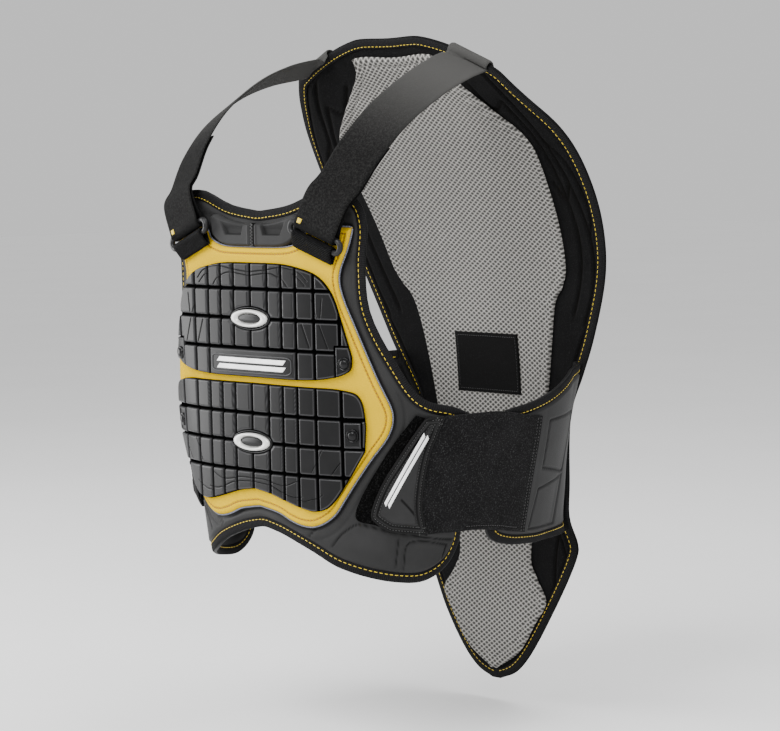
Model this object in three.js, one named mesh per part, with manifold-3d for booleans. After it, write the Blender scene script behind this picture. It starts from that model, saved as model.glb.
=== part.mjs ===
// Back and chest protector, in the form it has when worn. Millimetres, +Z up, +X to the wearer's left, -Y to the front.
// The origin lies midway between the two shoulder straps, where they rest on the shoulders.
import * as THREE from 'three';
import { mergeVertices } from 'three/addons/utils/BufferGeometryUtils.js';
import Module from 'manifold-3d';

const wasm = await Module();
wasm.setup();

// Driving dimensions of the torso that the guard fits
const BACK_HEIGHT = 603;
const BACK_RISE = 33;
const BACK_HALF_WIDTH = 173;
const BACK_SWEEP = 178;
const EDGE_CURL = 30;
const CHEST_HALF_BREADTH = 198;
const CHEST_DEPTH = 141;
const BELT_DEPTH = 170;
const AXIS_BEHIND = 20;
const CHEST_SQUARENESS = 3;
const BELT_SQUARENESS = 2.2;

// Front panel, with a wing round each side
const NECK_DROP = 118;
const FRONT_HEIGHT = 274;
const WING_WRAP = 76;
const FOAM = 8;
const FOAM_EDGE_STEP = 1.5;

// Back panel, its lining and its label
const BACK_EDGE = 6;
const BACK_CORE = 16;
const CORE_FALLS_OVER = 60;
const TOP_BOW_POWER = 2;
const NAPE_DIP = 4;
const NAPE_HALF_WIDTH = 45;
const LINING = 3;
const LABEL_WIDTH = 82;
const LABEL_HEIGHT = 57;
const LABEL_THICK = 1;
const LABEL_DOWN = 301;

// Edge tape on every panel
const TAPE_WIDTH = 9;
const TAPE_THICK = 5.4;
const TAPE_EDGE_THICK = 3.6;

// Chest cover and neck pads
const COVER_DROP = 35;
const COVER_HEIGHT = 220;
const COVER_WRAP = 50.6;
const COVER = 4;
const COVER_SEAT = 1;
const PAD_WRAP = 22;
const PAD_HEIGHT = 20.5;
const PAD = 5;
const PAD_SEAM = 0.4;

// Hard chest plates with moulded blocks
const PLATE = 4.5;
const PLATE_WRAP = 46;
const UPPER_PLATE_DROP = 44;
const UPPER_PLATE_HEIGHT = 99;
const LOWER_PLATE_DROP = 148;
const LOWER_PLATE_HEIGHT = 92;
const GROOVE_DEPTH = 1.6;
const GROOVE_HALF_WIDTH = 1.3;
const NAME_FIELD_WRAP = 21.2;

// Trim on the plates
const BADGE_WIDTH = 48;
const BADGE_HEIGHT = 17;
const BADGE_RISE = 2.4;
const NAMEPLATE_WIDTH = 100;
const NAMEPLATE_HEIGHT = 17;
const NAMEPLATE_RISE = 1.8;
const STUD_DIAMETER = 12;
const STUD_RISE = 2.6;

// Shoulder straps, rings and anchors
const STRAP_WIDTH = 46;
const STRAP_THICK = 1.8;
const STRAP_LEAN = 20;
const STRAP_SPLAY = 30;
const STRAP_BACK_X = 0.578 * BACK_HALF_WIDTH;
const STRAP_BACK_LAP = 60;
const RETURN_LENGTH = 95;
const RETURN_FLARE = 12;
const RING_TURN = 29.5;
const RING_DROP = 21;
const RING_STANDOFF = 5.5;
const RING_HEIGHT = 15.5;
const RING_WIRE = 5;
const RING_SIDE_PLAY = 1;
const ANCHOR_THICK = 1.6;
const ANCHOR_LENGTH = 11;

// Waist belt
const SIDE_START = 88;
const SIDE_TURN = 52;
const SIDE_BLEND_FROM = 0.75;
const SIDE_LAP = 8;
const SIDE_SPREAD = 110;
const BELT_DROP = 172;
const BELT_HEIGHT = 104;
const ELASTIC_START = 57;
const ELASTIC_TURN = 48;
const ELASTIC = 2;
const TAB_START = 44;
const TAB_TURN = 21;
const TAB = 4.5;
const PATCH_START = 39.5;
const PATCH_TURN = 20.5;
const PATCH = 1.3;
const PATCH_SEAT = 0.9;

// Clearance between pieces that lie on each other, and between a panel's edge and its tape
const GAP = 0.5;
const TAPE_GAP = 1;
const PLATE_GAP = 0.7;
const STRAP_OVER_TAPE = 1;

// Half breadth of the torso by the share of the back's height below its top
const TORSO = [
  { down: 0.17, breadth: 1.035 },
  { down: 0.31, breadth: 1.0 },
  { down: 0.38, breadth: 0.97 },
  { down: 0.45, breadth: 0.915 },
  { down: 0.56, breadth: 0.843 },
  { down: 0.66, breadth: 0.758 },
  { down: 0.74, breadth: 0.695 },
  { down: 0.79, breadth: 0.66 },
];

// Side view of the back: how far behind the shoulders, and how far its edges curl forward
const SPINE = [
  { down: 0.0, behind: 0.19, curl: 1.0 },
  { down: 0.07, behind: 0.36, curl: 0.9 },
  { down: 0.14, behind: 0.49, curl: 0.15 },
  { down: 0.21, behind: 0.63, curl: 0.05 },
  { down: 0.3, behind: 0.785, curl: 0.1 },
  { down: 0.38, behind: 0.877, curl: 0.25 },
  { down: 0.5, behind: 0.933, curl: 0.42 },
  { down: 0.65, behind: 0.948, curl: 0.45 },
  { down: 0.83, behind: 0.95, curl: 0.15 },
  { down: 0.9, behind: 0.93, curl: 0.05 },
  { down: 1.0, behind: 0.928, curl: 0.0 },
];

// Outline of the back from the tail's tip to its top, with the rise of each row's middle above its ends
const BACK_OUTLINE = [
  { down: 0.999, half: 0.03, bow: 0.0 },
  { down: 0.985, half: 0.145, bow: 0.0 },
  { down: 0.955, half: 0.252, bow: 0.0 },
  { down: 0.905, half: 0.372, bow: 0.0 },
  { down: 0.85, half: 0.48, bow: 0.0 },
  { down: 0.792, half: 0.59, bow: 0.0 },
  { down: 0.768, half: 0.598, bow: 0.0 },
  { down: 0.731, half: 0.54, bow: 0.0 },
  { down: 0.68, half: 0.55, bow: 0.0 },
  { down: 0.575, half: 0.573, bow: 0.0 },
  { down: 0.51, half: 0.68, bow: 0.0 },
  { down: 0.46, half: 0.768, bow: 0.0 },
  { down: 0.365, half: 0.905, bow: 0.0 },
  { down: 0.3, half: 0.965, bow: 0.005 },
  { down: 0.24, half: 0.995, bow: 0.012 },
  { down: 0.185, half: 0.99, bow: 0.023 },
  { down: 0.14, half: 0.945, bow: 0.035 },
  { down: 0.1, half: 0.85, bow: 0.048 },
  { down: 0.06, half: 0.75, bow: 0.062 },
];

// Outline of the mesh lining on the back's inner face
const LINING_OUTLINE = [
  { down: 0.982, half: 0.02, bow: 0.0 },
  { down: 0.95, half: 0.195, bow: 0.0 },
  { down: 0.9, half: 0.318, bow: 0.0 },
  { down: 0.866, half: 0.387, bow: 0.0 },
  { down: 0.83, half: 0.31, bow: 0.0 },
  { down: 0.79, half: 0.27, bow: 0.0 },
  { down: 0.66, half: 0.36, bow: 0.0 },
  { down: 0.56, half: 0.42, bow: 0.0 },
  { down: 0.415, half: 0.52, bow: 0.0 },
  { down: 0.375, half: 0.61, bow: 0.0 },
  { down: 0.335, half: 0.665, bow: 0.0 },
  { down: 0.2, half: 0.72, bow: 0.0 },
  { down: 0.15, half: 0.7, bow: 0.0 },
  { down: 0.11, half: 0.56, bow: 0.005 },
  { down: 0.075, half: 0.42, bow: 0.01 },
  { down: 0.05, half: 0.33, bow: 0.012 },
  { down: 0.028, half: 0.3, bow: 0.006 },
];

// Half outline of the front panel: its upper edge from the neck round the armhole, and its hem
const FRONT_OUTLINE = [
  { edgeTurn: 0.0, edgeDrop: 0.0, hemTurn: 0.0, hemDrop: 1.0 },
  { edgeTurn: 0.21, edgeDrop: -0.02, hemTurn: 0.14, hemDrop: 1.02 },
  { edgeTurn: 0.41, edgeDrop: -0.066, hemTurn: 0.3, hemDrop: 1.06 },
  { edgeTurn: 0.545, edgeDrop: -0.045, hemTurn: 0.408, hemDrop: 1.099 },
  { edgeTurn: 0.588, edgeDrop: 0.04, hemTurn: 0.46, hemDrop: 1.114 },
  { edgeTurn: 0.579, edgeDrop: 0.17, hemTurn: 0.555, hemDrop: 1.136 },
  { edgeTurn: 0.595, edgeDrop: 0.31, hemTurn: 0.67, hemDrop: 1.155 },
  { edgeTurn: 0.684, edgeDrop: 0.463, hemTurn: 0.79, hemDrop: 1.162 },
  { edgeTurn: 0.776, edgeDrop: 0.573, hemTurn: 0.885, hemDrop: 1.141 },
  { edgeTurn: 0.9, edgeDrop: 0.605, hemTurn: 0.955, hemDrop: 1.1 },
  { edgeTurn: 1.0, edgeDrop: 0.64, hemTurn: 0.995, hemDrop: 1.04 },
];

// Half outline of the chest cover: its neck edge to the shoulder point, then round the armhole, and its hem
const COVER_OUTLINE = [
  { edgeTurn: 0.0, edgeDrop: -0.016, hemTurn: 0.0, hemDrop: 1.0 },
  { edgeTurn: 0.277, edgeDrop: -0.018, hemTurn: 0.194, hemDrop: 1.018 },
  { edgeTurn: 0.385, edgeDrop: -0.028, hemTurn: 0.296, hemDrop: 1.041 },
  { edgeTurn: 0.464, edgeDrop: -0.05, hemTurn: 0.381, hemDrop: 1.056 },
  { edgeTurn: 0.504, edgeDrop: -0.086, hemTurn: 0.445, hemDrop: 1.061 },
  { edgeTurn: 0.632, edgeDrop: -0.1, hemTurn: 0.504, hemDrop: 1.059 },
  { edgeTurn: 0.804, edgeDrop: -0.1, hemTurn: 0.577, hemDrop: 1.041 },
  { edgeTurn: 0.771, edgeDrop: -0.02, hemTurn: 0.652, hemDrop: 1.005 },
  { edgeTurn: 0.717, edgeDrop: 0.077, hemTurn: 0.717, hemDrop: 0.945 },
  { edgeTurn: 0.731, edgeDrop: 0.159, hemTurn: 0.781, hemDrop: 0.882 },
  { edgeTurn: 0.812, edgeDrop: 0.295, hemTurn: 0.875, hemDrop: 0.791 },
  { edgeTurn: 0.919, edgeDrop: 0.477, hemTurn: 0.964, hemDrop: 0.709 },
  { edgeTurn: 0.994, edgeDrop: 0.595, hemTurn: 0.998, hemDrop: 0.655 },
];

// Outline of one neck pad from the centre seam outward
const PAD_OUTLINE = [
  { edgeTurn: 0.0, edgeDrop: 0.0, hemTurn: 0.0, hemDrop: 1.0 },
  { edgeTurn: 0.33, edgeDrop: -0.02, hemTurn: 0.33, hemDrop: 1.0 },
  { edgeTurn: 0.66, edgeDrop: -0.17, hemTurn: 0.58, hemDrop: 0.98 },
  { edgeTurn: 0.9, edgeDrop: -0.38, hemTurn: 0.8, hemDrop: 0.84 },
  { edgeTurn: 1.0, edgeDrop: -0.28, hemTurn: 0.965, hemDrop: 0.52 },
];

// Half outlines of the two plates
const UPPER_PLATE_OUTLINE = [
  { edgeTurn: 0.0, edgeDrop: 0.0, hemTurn: 0.0, hemDrop: 1.0 },
  { edgeTurn: 0.304, edgeDrop: 0.005, hemTurn: 0.217, hemDrop: 1.0 },
  { edgeTurn: 0.478, edgeDrop: 0.035, hemTurn: 0.435, hemDrop: 1.0 },
  { edgeTurn: 0.609, edgeDrop: 0.081, hemTurn: 0.609, hemDrop: 0.99 },
  { edgeTurn: 0.696, edgeDrop: 0.162, hemTurn: 0.717, hemDrop: 0.97 },
  { edgeTurn: 0.761, edgeDrop: 0.293, hemTurn: 0.804, hemDrop: 0.939 },
  { edgeTurn: 0.811, edgeDrop: 0.505, hemTurn: 0.859, hemDrop: 0.889 },
  { edgeTurn: 0.854, edgeDrop: 0.707, hemTurn: 0.87, hemDrop: 0.788 },
];
const LOWER_PLATE_OUTLINE = [
  { edgeTurn: 0.0, edgeDrop: 0.0, hemTurn: 0.0, hemDrop: 1.0 },
  { edgeTurn: 0.326, edgeDrop: 0.003, hemTurn: 0.183, hemDrop: 1.035 },
  { edgeTurn: 0.587, edgeDrop: 0.006, hemTurn: 0.34, hemDrop: 1.09 },
  { edgeTurn: 0.738, edgeDrop: 0.009, hemTurn: 0.47, hemDrop: 1.135 },
  { edgeTurn: 0.851, edgeDrop: 0.031, hemTurn: 0.587, hemDrop: 1.157 },
  { edgeTurn: 0.903, edgeDrop: 0.069, hemTurn: 0.703, hemDrop: 1.091 },
  { edgeTurn: 0.932, edgeDrop: 0.17, hemTurn: 0.824, hemDrop: 0.859 },
  { edgeTurn: 0.946, edgeDrop: 0.35, hemTurn: 0.936, hemDrop: 0.583 },
];

// Grooves between the blocks, as shares of a plate's wrap and height
const COLUMN_GROOVES = [0.183, 0.326, 0.461, 0.613, 0.796];
const UPPER_ROW_GROOVES = [0.227, 0.485, 0.747];
const LOWER_ROW_GROOVES = [0.283, 0.554, 0.826];

// Belt pieces: each row holds the front and the rear, or the upper and the lower edge
const SIDE_OUTLINE = [
  { edgeTurn: 0.0, edgeDrop: 0.01, hemTurn: 0.0, hemDrop: 0.97 },
  { edgeTurn: 0.06, edgeDrop: -0.005, hemTurn: 0.02, hemDrop: 1.06 },
  { edgeTurn: 0.15, edgeDrop: -0.02, hemTurn: 0.1, hemDrop: 1.14 },
  { edgeTurn: 0.3, edgeDrop: -0.06, hemTurn: 0.27, hemDrop: 1.195 },
  { edgeTurn: 0.46, edgeDrop: -0.12, hemTurn: 0.46, hemDrop: 1.22 },
  { edgeTurn: 0.62, edgeDrop: -0.19, hemTurn: 0.62, hemDrop: 1.235 },
  { edgeTurn: 0.8, edgeDrop: -0.25, hemTurn: 0.8, hemDrop: 1.24 },
  { edgeTurn: 0.9, edgeDrop: -0.27, hemTurn: 0.9, hemDrop: 1.24 },
  { edgeTurn: 1.0, edgeDrop: -0.28, hemTurn: 1.0, hemDrop: 1.24 },
];
const ELASTIC_OUTLINE = [
  { edgeTurn: 0.09, edgeDrop: 0.005, hemTurn: 0.0, hemDrop: 0.99 },
  { edgeTurn: 0.31, edgeDrop: 0.0, hemTurn: 0.24, hemDrop: 1.0 },
  { edgeTurn: 0.52, edgeDrop: 0.0, hemTurn: 0.46, hemDrop: 1.005 },
  { edgeTurn: 0.69, edgeDrop: 0.03, hemTurn: 0.69, hemDrop: 1.03 },
  { edgeTurn: 0.82, edgeDrop: 0.065, hemTurn: 0.88, hemDrop: 1.07 },
  { edgeTurn: 0.96, edgeDrop: 0.09, hemTurn: 1.05, hemDrop: 1.1 },
];
const TAB_OUTLINE = [
  { frontTurn: 0.74, frontDrop: 0.01, rearTurn: 1.0, rearDrop: 0.0 },
  { frontTurn: 0.6, frontDrop: 0.13, rearTurn: 0.91, rearDrop: 0.14 },
  { frontTurn: 0.38, frontDrop: 0.34, rearTurn: 0.81, rearDrop: 0.31 },
  { frontTurn: 0.16, frontDrop: 0.56, rearTurn: 0.745, rearDrop: 0.55 },
  { frontTurn: 0.01, frontDrop: 0.79, rearTurn: 0.73, rearDrop: 0.76 },
  { frontTurn: 0.06, frontDrop: 0.87, rearTurn: 0.78, rearDrop: 0.9 },
  { frontTurn: 0.26, frontDrop: 0.955, rearTurn: 0.825, rearDrop: 1.0 },
];
const PATCH_OUTLINE = [
  { frontTurn: 0.85, frontDrop: -0.01, rearTurn: 1.0, rearDrop: 0.02 },
  { frontTurn: 0.46, frontDrop: 0.31, rearTurn: 0.79, rearDrop: 0.33 },
  { frontTurn: 0.0, frontDrop: 0.8, rearTurn: 0.69, rearDrop: 0.77 },
  { frontTurn: 0.3, frontDrop: 0.9, rearTurn: 0.69, rearDrop: 0.95 },
];

// Route of a strap over the shoulder, as shares of its span from the ring to the back's top edge
const SHOULDER_ROUTE = [
  { along: 0.02, rise: 0.19, splay: 0.45 },
  { along: 0.09, rise: 0.29, splay: 0.6 },
  { along: 0.2, rise: 0.48, splay: 0.8 },
  { along: 0.37, rise: 0.68, splay: 0.95 },
  { along: 0.6, rise: 0.85, splay: 1.0 },
  { along: 0.8, rise: 0.945, splay: 0.85 },
];

// Profiles of the raised trim, from the middle to the rim
const BADGE_PROFILE = [
  { radius: 0.42, rise: 0.4 },
  { radius: 0.5, rise: 0.85 },
  { radius: 0.72, rise: 1.0 },
  { radius: 1.0, rise: 0.5 },
];
const NAMEPLATE_OUTLINE = [
  { along: -0.5, half: 0.25 },
  { along: -0.46, half: 0.44 },
  { along: -0.4, half: 0.5 },
  { along: -0.27, half: 0.5 },
  { along: -0.13, half: 0.5 },
  { along: 0.0, half: 0.5 },
  { along: 0.13, half: 0.5 },
  { along: 0.27, half: 0.5 },
  { along: 0.4, half: 0.5 },
  { along: 0.46, half: 0.44 },
  { along: 0.5, half: 0.25 },
];
const STUD_PROFILE = [
  { radius: 0.55, rise: 0.9 },
  { radius: 1.0, rise: 0.35 },
];

// Levels and offsets worked out from the sizes above
const NECK_LEVEL = -NECK_DROP;
const coverOuter = GAP + COVER;
const plateSeat = coverOuter + PLATE_GAP;
const plateOuter = plateSeat + PLATE;
const foamMiddle = -FOAM / 2;
const BACK_LEVELS = [...BACK_OUTLINE].reverse();
const beltLevel = NECK_LEVEL - BELT_DROP;
const elasticOuter = GAP + ELASTIC;

const material = (color, roughness, metalness = 0) =>
  new THREE.MeshStandardMaterial({ color, roughness, metalness });
const MATERIALS = {
  foam: material(0x3c3d3e, 0.65),
  neoprene: material(0x121213, 0.9),
  mesh: material(0x9a9894, 0.9),
  tape: material(0x2b2c2d, 0.85),
  yellow: material(0xf5c63c, 0.75),
  plate: material(0x17181a, 0.3),
  silver: material(0xc9cacb, 0.3, 0.7),
  webbing: material(0x343538, 0.85),
  elastic: material(0x1c1d1e, 0.9),
};

// Value of a column at a key between rows, on a smooth curve through the rows
function smoothed(rows, key, column, at) {
  const last = rows.length - 1;
  const inside = THREE.MathUtils.clamp(at, rows[0][key], rows[last][key]);
  let low = 0;
  while (low < last - 1 && rows[low + 1][key] < inside) low += 1;
  const slope = (row) => {
    const before = rows[Math.max(row - 1, 0)];
    const after = rows[Math.min(row + 1, last)];
    return (after[column] - before[column]) / (after[key] - before[key]);
  };
  const span = rows[low + 1][key] - rows[low][key];
  const t = (inside - rows[low][key]) / span;
  const fromLow = rows[low][column] * (1 + 2 * t) * (1 - t) ** 2 + slope(low) * span * t * (1 - t) ** 2;
  const fromHigh = rows[low + 1][column] * t * t * (3 - 2 * t) - slope(low + 1) * span * t * t * (1 - t);
  return fromLow + fromHigh;
}

const downAt = (level) => (BACK_RISE - level) / BACK_HEIGHT;
const levelAt = (down) => BACK_RISE - down * BACK_HEIGHT;

// A point of the torso's barrel: turn is the angle from straight ahead, out the distance outward
function torsoPoint(turn, level, out) {
  const angle = THREE.MathUtils.degToRad(turn);
  const front = Math.cos(angle) > 0;
  const breadth = smoothed(TORSO, 'down', 'breadth', downAt(level)) * CHEST_HALF_BREADTH + out;
  const depth = (front ? CHEST_DEPTH : BELT_DEPTH) + out;
  const power = front ? CHEST_SQUARENESS : BELT_SQUARENESS;
  const sum = Math.abs(Math.sin(angle) / breadth) ** power + Math.abs(Math.cos(angle) / depth) ** power;
  const reach = sum ** (-1 / power);
  return new THREE.Vector3(reach * Math.sin(angle), AXIS_BEHIND - reach * Math.cos(angle), level);
}

function spinePoint(x, level) {
  const down = downAt(level);
  const curl = EDGE_CURL * smoothed(SPINE, 'down', 'curl', down) * (x / BACK_HALF_WIDTH) ** 2;
  return new THREE.Vector3(x, BACK_SWEEP * smoothed(SPINE, 'down', 'behind', down) - curl, level);
}

// A point of the back, out millimetres behind its inner face
function backPoint(x, level, out) {
  const step = 1;
  const across = spinePoint(x + step, level).sub(spinePoint(x - step, level));
  const upward = spinePoint(x, level + step).sub(spinePoint(x, level - step));
  const normal = upward.cross(across).normalize();
  return spinePoint(x, level).addScaledVector(normal, out);
}

// A point of the side panel: on the barrel in front, and laid on the back's inner face at its rear end
function sidePoint(share, level, out) {
  const onTorso = torsoPoint(SIDE_START + SIDE_TURN * share, level, out - GAP / 2);
  const half = smoothed(BACK_LEVELS, 'down', 'half', downAt(level)) * BACK_HALF_WIDTH;
  const onBack = backPoint(half - SIDE_LAP + (1 - share) * SIDE_SPREAD, level, out - GAP);
  const blend = THREE.MathUtils.smoothstep(share, SIDE_BLEND_FROM, 1);
  return onTorso.lerp(onBack, blend);
}
// Thickness of the back panel, thin along its edges and thick along the spine
function backThickness(x, level) {
  const half = smoothed(BACK_LEVELS, 'down', 'half', downAt(level)) * BACK_HALF_WIDTH;
  const side = 1 - Math.min(Math.abs(x) / half, 1) ** 4;
  const fromTop = topLevel(x) - level;
  const fromTail = level - levelAt(1);
  const top = THREE.MathUtils.smoothstep(fromTop, TAPE_WIDTH, CORE_FALLS_OVER);
  const tail = THREE.MathUtils.smoothstep(fromTail, TAPE_WIDTH, 2 * CORE_FALLS_OVER);
  return BACK_EDGE + (BACK_CORE - BACK_EDGE) * side * top * tail;
}

// Level of the back's top edge at a distance from its middle
function topLevel(x) {
  const top = BACK_OUTLINE[BACK_OUTLINE.length - 1];
  const share = Math.min(Math.abs(x) / (top.half * BACK_HALF_WIDTH), 1);
  const bow = top.bow * BACK_HEIGHT * (1 - share ** TOP_BOW_POWER);
  const dip = NAPE_DIP * Math.max(0, 1 - (x / NAPE_HALF_WIDTH) ** 2) ** 2;
  return levelAt(top.down) + bow - dip;
}

// Partial derivatives and normal of a surface, by small differences
function derivatives(surface, u, v, out) {
  const step = 0.01;
  const alongU = surface(u + step, v, out).sub(surface(u - step, v, out)).divideScalar(2 * step);
  const alongV = surface(u, v + step, out).sub(surface(u, v - step, out)).divideScalar(2 * step);
  const outward = surface(u, v, out + 1).sub(surface(u, v, out));
  const normal = alongU.clone().cross(alongV).normalize();
  if (normal.dot(outward) < 0) normal.negate();
  return { alongU, alongV, normal };
}

// Frames along an outline: its point, the surface's normal and the way inward, longer at corners
function edgeFrames(surface, path, out, closed) {
  const points = path.map(([u, v]) => surface(u, v, out));
  const count = points.length;
  const middle = points.reduce((sum, point) => sum.add(point), new THREE.Vector3()).divideScalar(count);
  const frames = path.map(([u, v], i) => {
    const { normal } = derivatives(surface, u, v, out);
    const before = closed ? points[(i + count - 1) % count] : points[Math.max(i - 1, 0)];
    const after = closed ? points[(i + 1) % count] : points[Math.min(i + 1, count - 1)];
    const arriving = points[i].clone().sub(before).cross(normal).normalize();
    const leaving = after.clone().sub(points[i]).cross(normal).normalize();
    const inward = arriving.clone().add(leaving).normalize();
    const nearest = arriving.lengthSq() > 0 ? arriving : leaving;
    inward.divideScalar(Math.max(inward.dot(nearest), 0.65));
    return { point: points[i], inward };
  });
  const towards = frames.reduce((sum, frame) => sum + middle.clone().sub(frame.point).dot(frame.inward), 0);
  if (towards < 0) frames.forEach((frame) => frame.inward.negate());
  return frames;
}

// Place on a surface nearest to a point, from a first guess
function nearestOn(surface, target, guess, out) {
  let [u, v] = guess;
  for (let round = 0; round < 3; round += 1) {
    const { alongU, alongV } = derivatives(surface, u, v, out);
    const away = target.clone().sub(surface(u, v, out));
    const a = alongU.dot(alongU);
    const b = alongU.dot(alongV);
    const c = alongV.dot(alongV);
    const p = away.dot(alongU);
    const q = away.dot(alongV);
    const size = a * c - b * b;
    u += (p * c - q * b) / size;
    v += (q * a - p * b) / size;
  }
  return [u, v];
}

// The same outline, moved inward by a distance
function inset(surface, path, out, distance, closed = true) {
  return edgeFrames(surface, path, out, closed).map(({ point, inward }, i) =>
    nearestOn(surface, point.clone().addScaledVector(inward, distance), path[i], out));
}

// Indexed triangles as a geometry that faces outward
function closedBody(points, faces) {
  let volume = 0;
  for (const [a, b, c] of faces) volume += points[a].dot(points[b].clone().cross(points[c]));
  const geometry = new THREE.BufferGeometry();
  geometry.setAttribute('position', new THREE.Float32BufferAttribute(points.flatMap((p) => [p.x, p.y, p.z]), 3));
  geometry.setIndex(faces.flatMap(([a, b, c]) => (volume > 0 ? [a, b, c] : [a, c, b])));
  return geometry;
}

// Closed body between two grids of points of the same size
function slab(outer, inner) {
  const rows = outer.length;
  const columns = outer[0].length;
  const points = [...outer.flat(), ...inner.flat()];
  const top = (i, j) => i * columns + j;
  const under = (i, j) => rows * columns + i * columns + j;
  const faces = [];
  const quad = (a, b, c, d) => faces.push([a, b, c], [a, c, d]);
  for (let i = 0; i + 1 < rows; i += 1) {
    for (let j = 0; j + 1 < columns; j += 1) {
      quad(top(i, j), top(i + 1, j), top(i + 1, j + 1), top(i, j + 1));
      quad(under(i, j), under(i, j + 1), under(i + 1, j + 1), under(i + 1, j));
    }
    quad(top(i, 0), under(i, 0), under(i + 1, 0), top(i + 1, 0));
    quad(top(i, columns - 1), top(i + 1, columns - 1), under(i + 1, columns - 1), under(i, columns - 1));
  }
  for (let j = 0; j + 1 < columns; j += 1) {
    quad(top(0, j), top(0, j + 1), under(0, j + 1), under(0, j));
    quad(top(rows - 1, j), under(rows - 1, j), under(rows - 1, j + 1), top(rows - 1, j + 1));
  }
  return closedBody(points, faces);
}

// Body swept through rings of points, closed on itself or capped at both ends
function sweep(rings, closed) {
  const sides = rings[0].length;
  const points = rings.flat();
  const faces = [];
  const last = closed ? rings.length : rings.length - 1;
  for (let i = 0; i < last; i += 1) {
    const next = (i + 1) % rings.length;
    for (let j = 0; j < sides; j += 1) {
      const k = (j + 1) % sides;
      faces.push([i * sides + j, next * sides + j, next * sides + k]);
      faces.push([i * sides + j, next * sides + k, i * sides + k]);
    }
  }
  if (!closed) {
    const end = (rings.length - 1) * sides;
    for (let j = 1; j + 1 < sides; j += 1) {
      faces.push([0, j, j + 1]);
      faces.push([end, end + j + 1, end + j]);
    }
  }
  return closedBody(points, faces);
}

// A sheet on a surface between two edge curves, cut into cells
function sheet(surface, low, high, cells, outer, inner) {
  const grid = (offset) => low.map((from, i) => {
    const along = i / (low.length - 1);
    return Array.from({ length: cells + 1 }, (_, j) => {
      const share = j / cells;
      const u = THREE.MathUtils.lerp(from[0], high[i][0], share);
      const v = THREE.MathUtils.lerp(from[1], high[i][1], share);
      return surface(u, v, offset(along, share));
    });
  });
  return slab(grid(outer), grid(inner));
}

// Points on a smooth curve through table rows, as [turn, level]
function curveThrough(rows, turnColumn, dropColumn, place, pieces) {
  const curve = new THREE.CatmullRomCurve3(
    rows.map((row) => new THREE.Vector3(row[turnColumn], row[dropColumn], 0)), false, 'catmullrom');
  const steps = Math.round(pieces * (rows.length - 1));
  return Array.from({ length: steps + 1 }, (_, i) => {
    const point = curve.getPoint(i / steps);
    return place(point.x, point.y);
  });
}

const mirrorPath = (path) => path.map(([u, v]) => [-u, v]);
const bothSides = (half) => [...mirrorPath(half).reverse().slice(0, -1), ...half];

// Upper and lower edge of a piece that spans both sides
function wholeOutline(rows, place, pieces) {
  const edge = bothSides(curveThrough(rows, 'edgeTurn', 'edgeDrop', place, pieces));
  const hem = bothSides(curveThrough(rows, 'hemTurn', 'hemDrop', place, pieces));
  return { edge, hem };
}

// Grid of points filled in between a top, an outer and a bottom edge, with its mirror image on the other side
function filledGrid(top, side, bottom) {
  const last = top.length - 1;
  return side.map((outer, j) => {
    const v = j / (side.length - 1);
    return bothSides(top.map((upper, i) => {
      const u = i / last;
      return [0, 1].map((k) => {
        const corner = THREE.MathUtils.lerp(top[last][k], bottom[last][k], v);
        return THREE.MathUtils.lerp(upper[k], bottom[i][k], v) + u * (outer[k] - corner);
      });
    }));
  });
}

const placer = (turnStart, turnSpan, top, height) => (turn, drop) =>
  [turnStart + turn * turnSpan, top - drop * height];

// Tape that closes an edge, on an outline of a surface
function edgeTape(surface, path, out, closed) {
  const thin = TAPE_EDGE_THICK / 2;
  const thick = TAPE_THICK / 2;
  const inner = inset(surface, path, out, TAPE_WIDTH, closed);
  const rings = path.map(([u, v], i) => [
    surface(u, v, out + thin),
    surface(...inner[i], out + thick),
    surface(...inner[i], out - thick),
    surface(u, v, out - thin),
  ]);
  return sweep(rings, closed);
}

// Front panel and its tape
const frontPlace = placer(0, WING_WRAP, NECK_LEVEL, FRONT_HEIGHT);
const frontOutline = wholeOutline(FRONT_OUTLINE, frontPlace, 2);
const frontLoop = [...frontOutline.hem, ...[...frontOutline.edge].reverse()];

function frontPanel() {
  const inner = inset(torsoPoint, frontLoop, foamMiddle, TAPE_WIDTH + TAPE_GAP);
  const columns = frontOutline.hem.length;
  const hem = inner.slice(0, columns);
  const edge = inner.slice(columns).reverse();
  const rim = (along, share) => along === 0 || along === 1 || share === 0 || share === 1;
  const outer = (along, share) => (rim(along, share) ? -FOAM_EDGE_STEP : 0);
  const under = (along, share) => (rim(along, share) ? FOAM_EDGE_STEP - FOAM : -FOAM);
  return sheet(torsoPoint, hem, edge, 6, outer, under);
}

// Rows between the rows of a back outline, on a smooth curve
function finerRows(rows, pieces) {
  const curve = new THREE.CatmullRomCurve3(
    rows.map((row) => new THREE.Vector3(row.half, row.down, row.bow)), false, 'catmullrom');
  const steps = pieces * (rows.length - 1);
  return Array.from({ length: steps + 1 }, (_, i) => {
    const { x, y, z } = curve.getPoint(i / steps);
    return { half: x, down: y, bow: z };
  });
}

// Points of a back outline in rows from the tail to the top, each row bowed up in its middle
function backRows(rows, cells) {
  return rows.map((row, i) => Array.from({ length: cells + 1 }, (_, j) => {
    const share = 2 * j / cells - 1;
    const x = share * row.half * BACK_HALF_WIDTH;
    const bow = row.bow * BACK_HEIGHT * (1 - Math.abs(share) ** TOP_BOW_POWER);
    const dip = (i / (rows.length - 1)) ** 12 * NAPE_DIP * Math.max(0, 1 - (x / NAPE_HALF_WIDTH) ** 2) ** 2;
    return [x, levelAt(row.down) + bow - dip];
  }));
}

const loopOf = (rows) => [
  ...rows.map((row) => row[row.length - 1]),
  ...rows[rows.length - 1].slice(1, -1).reverse(),
  ...rows.map((row) => row[0]).reverse(),
];
const mapGrid = (grid, place) => grid.map((row) => row.map(([x, level]) => place(x, level)));

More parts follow.
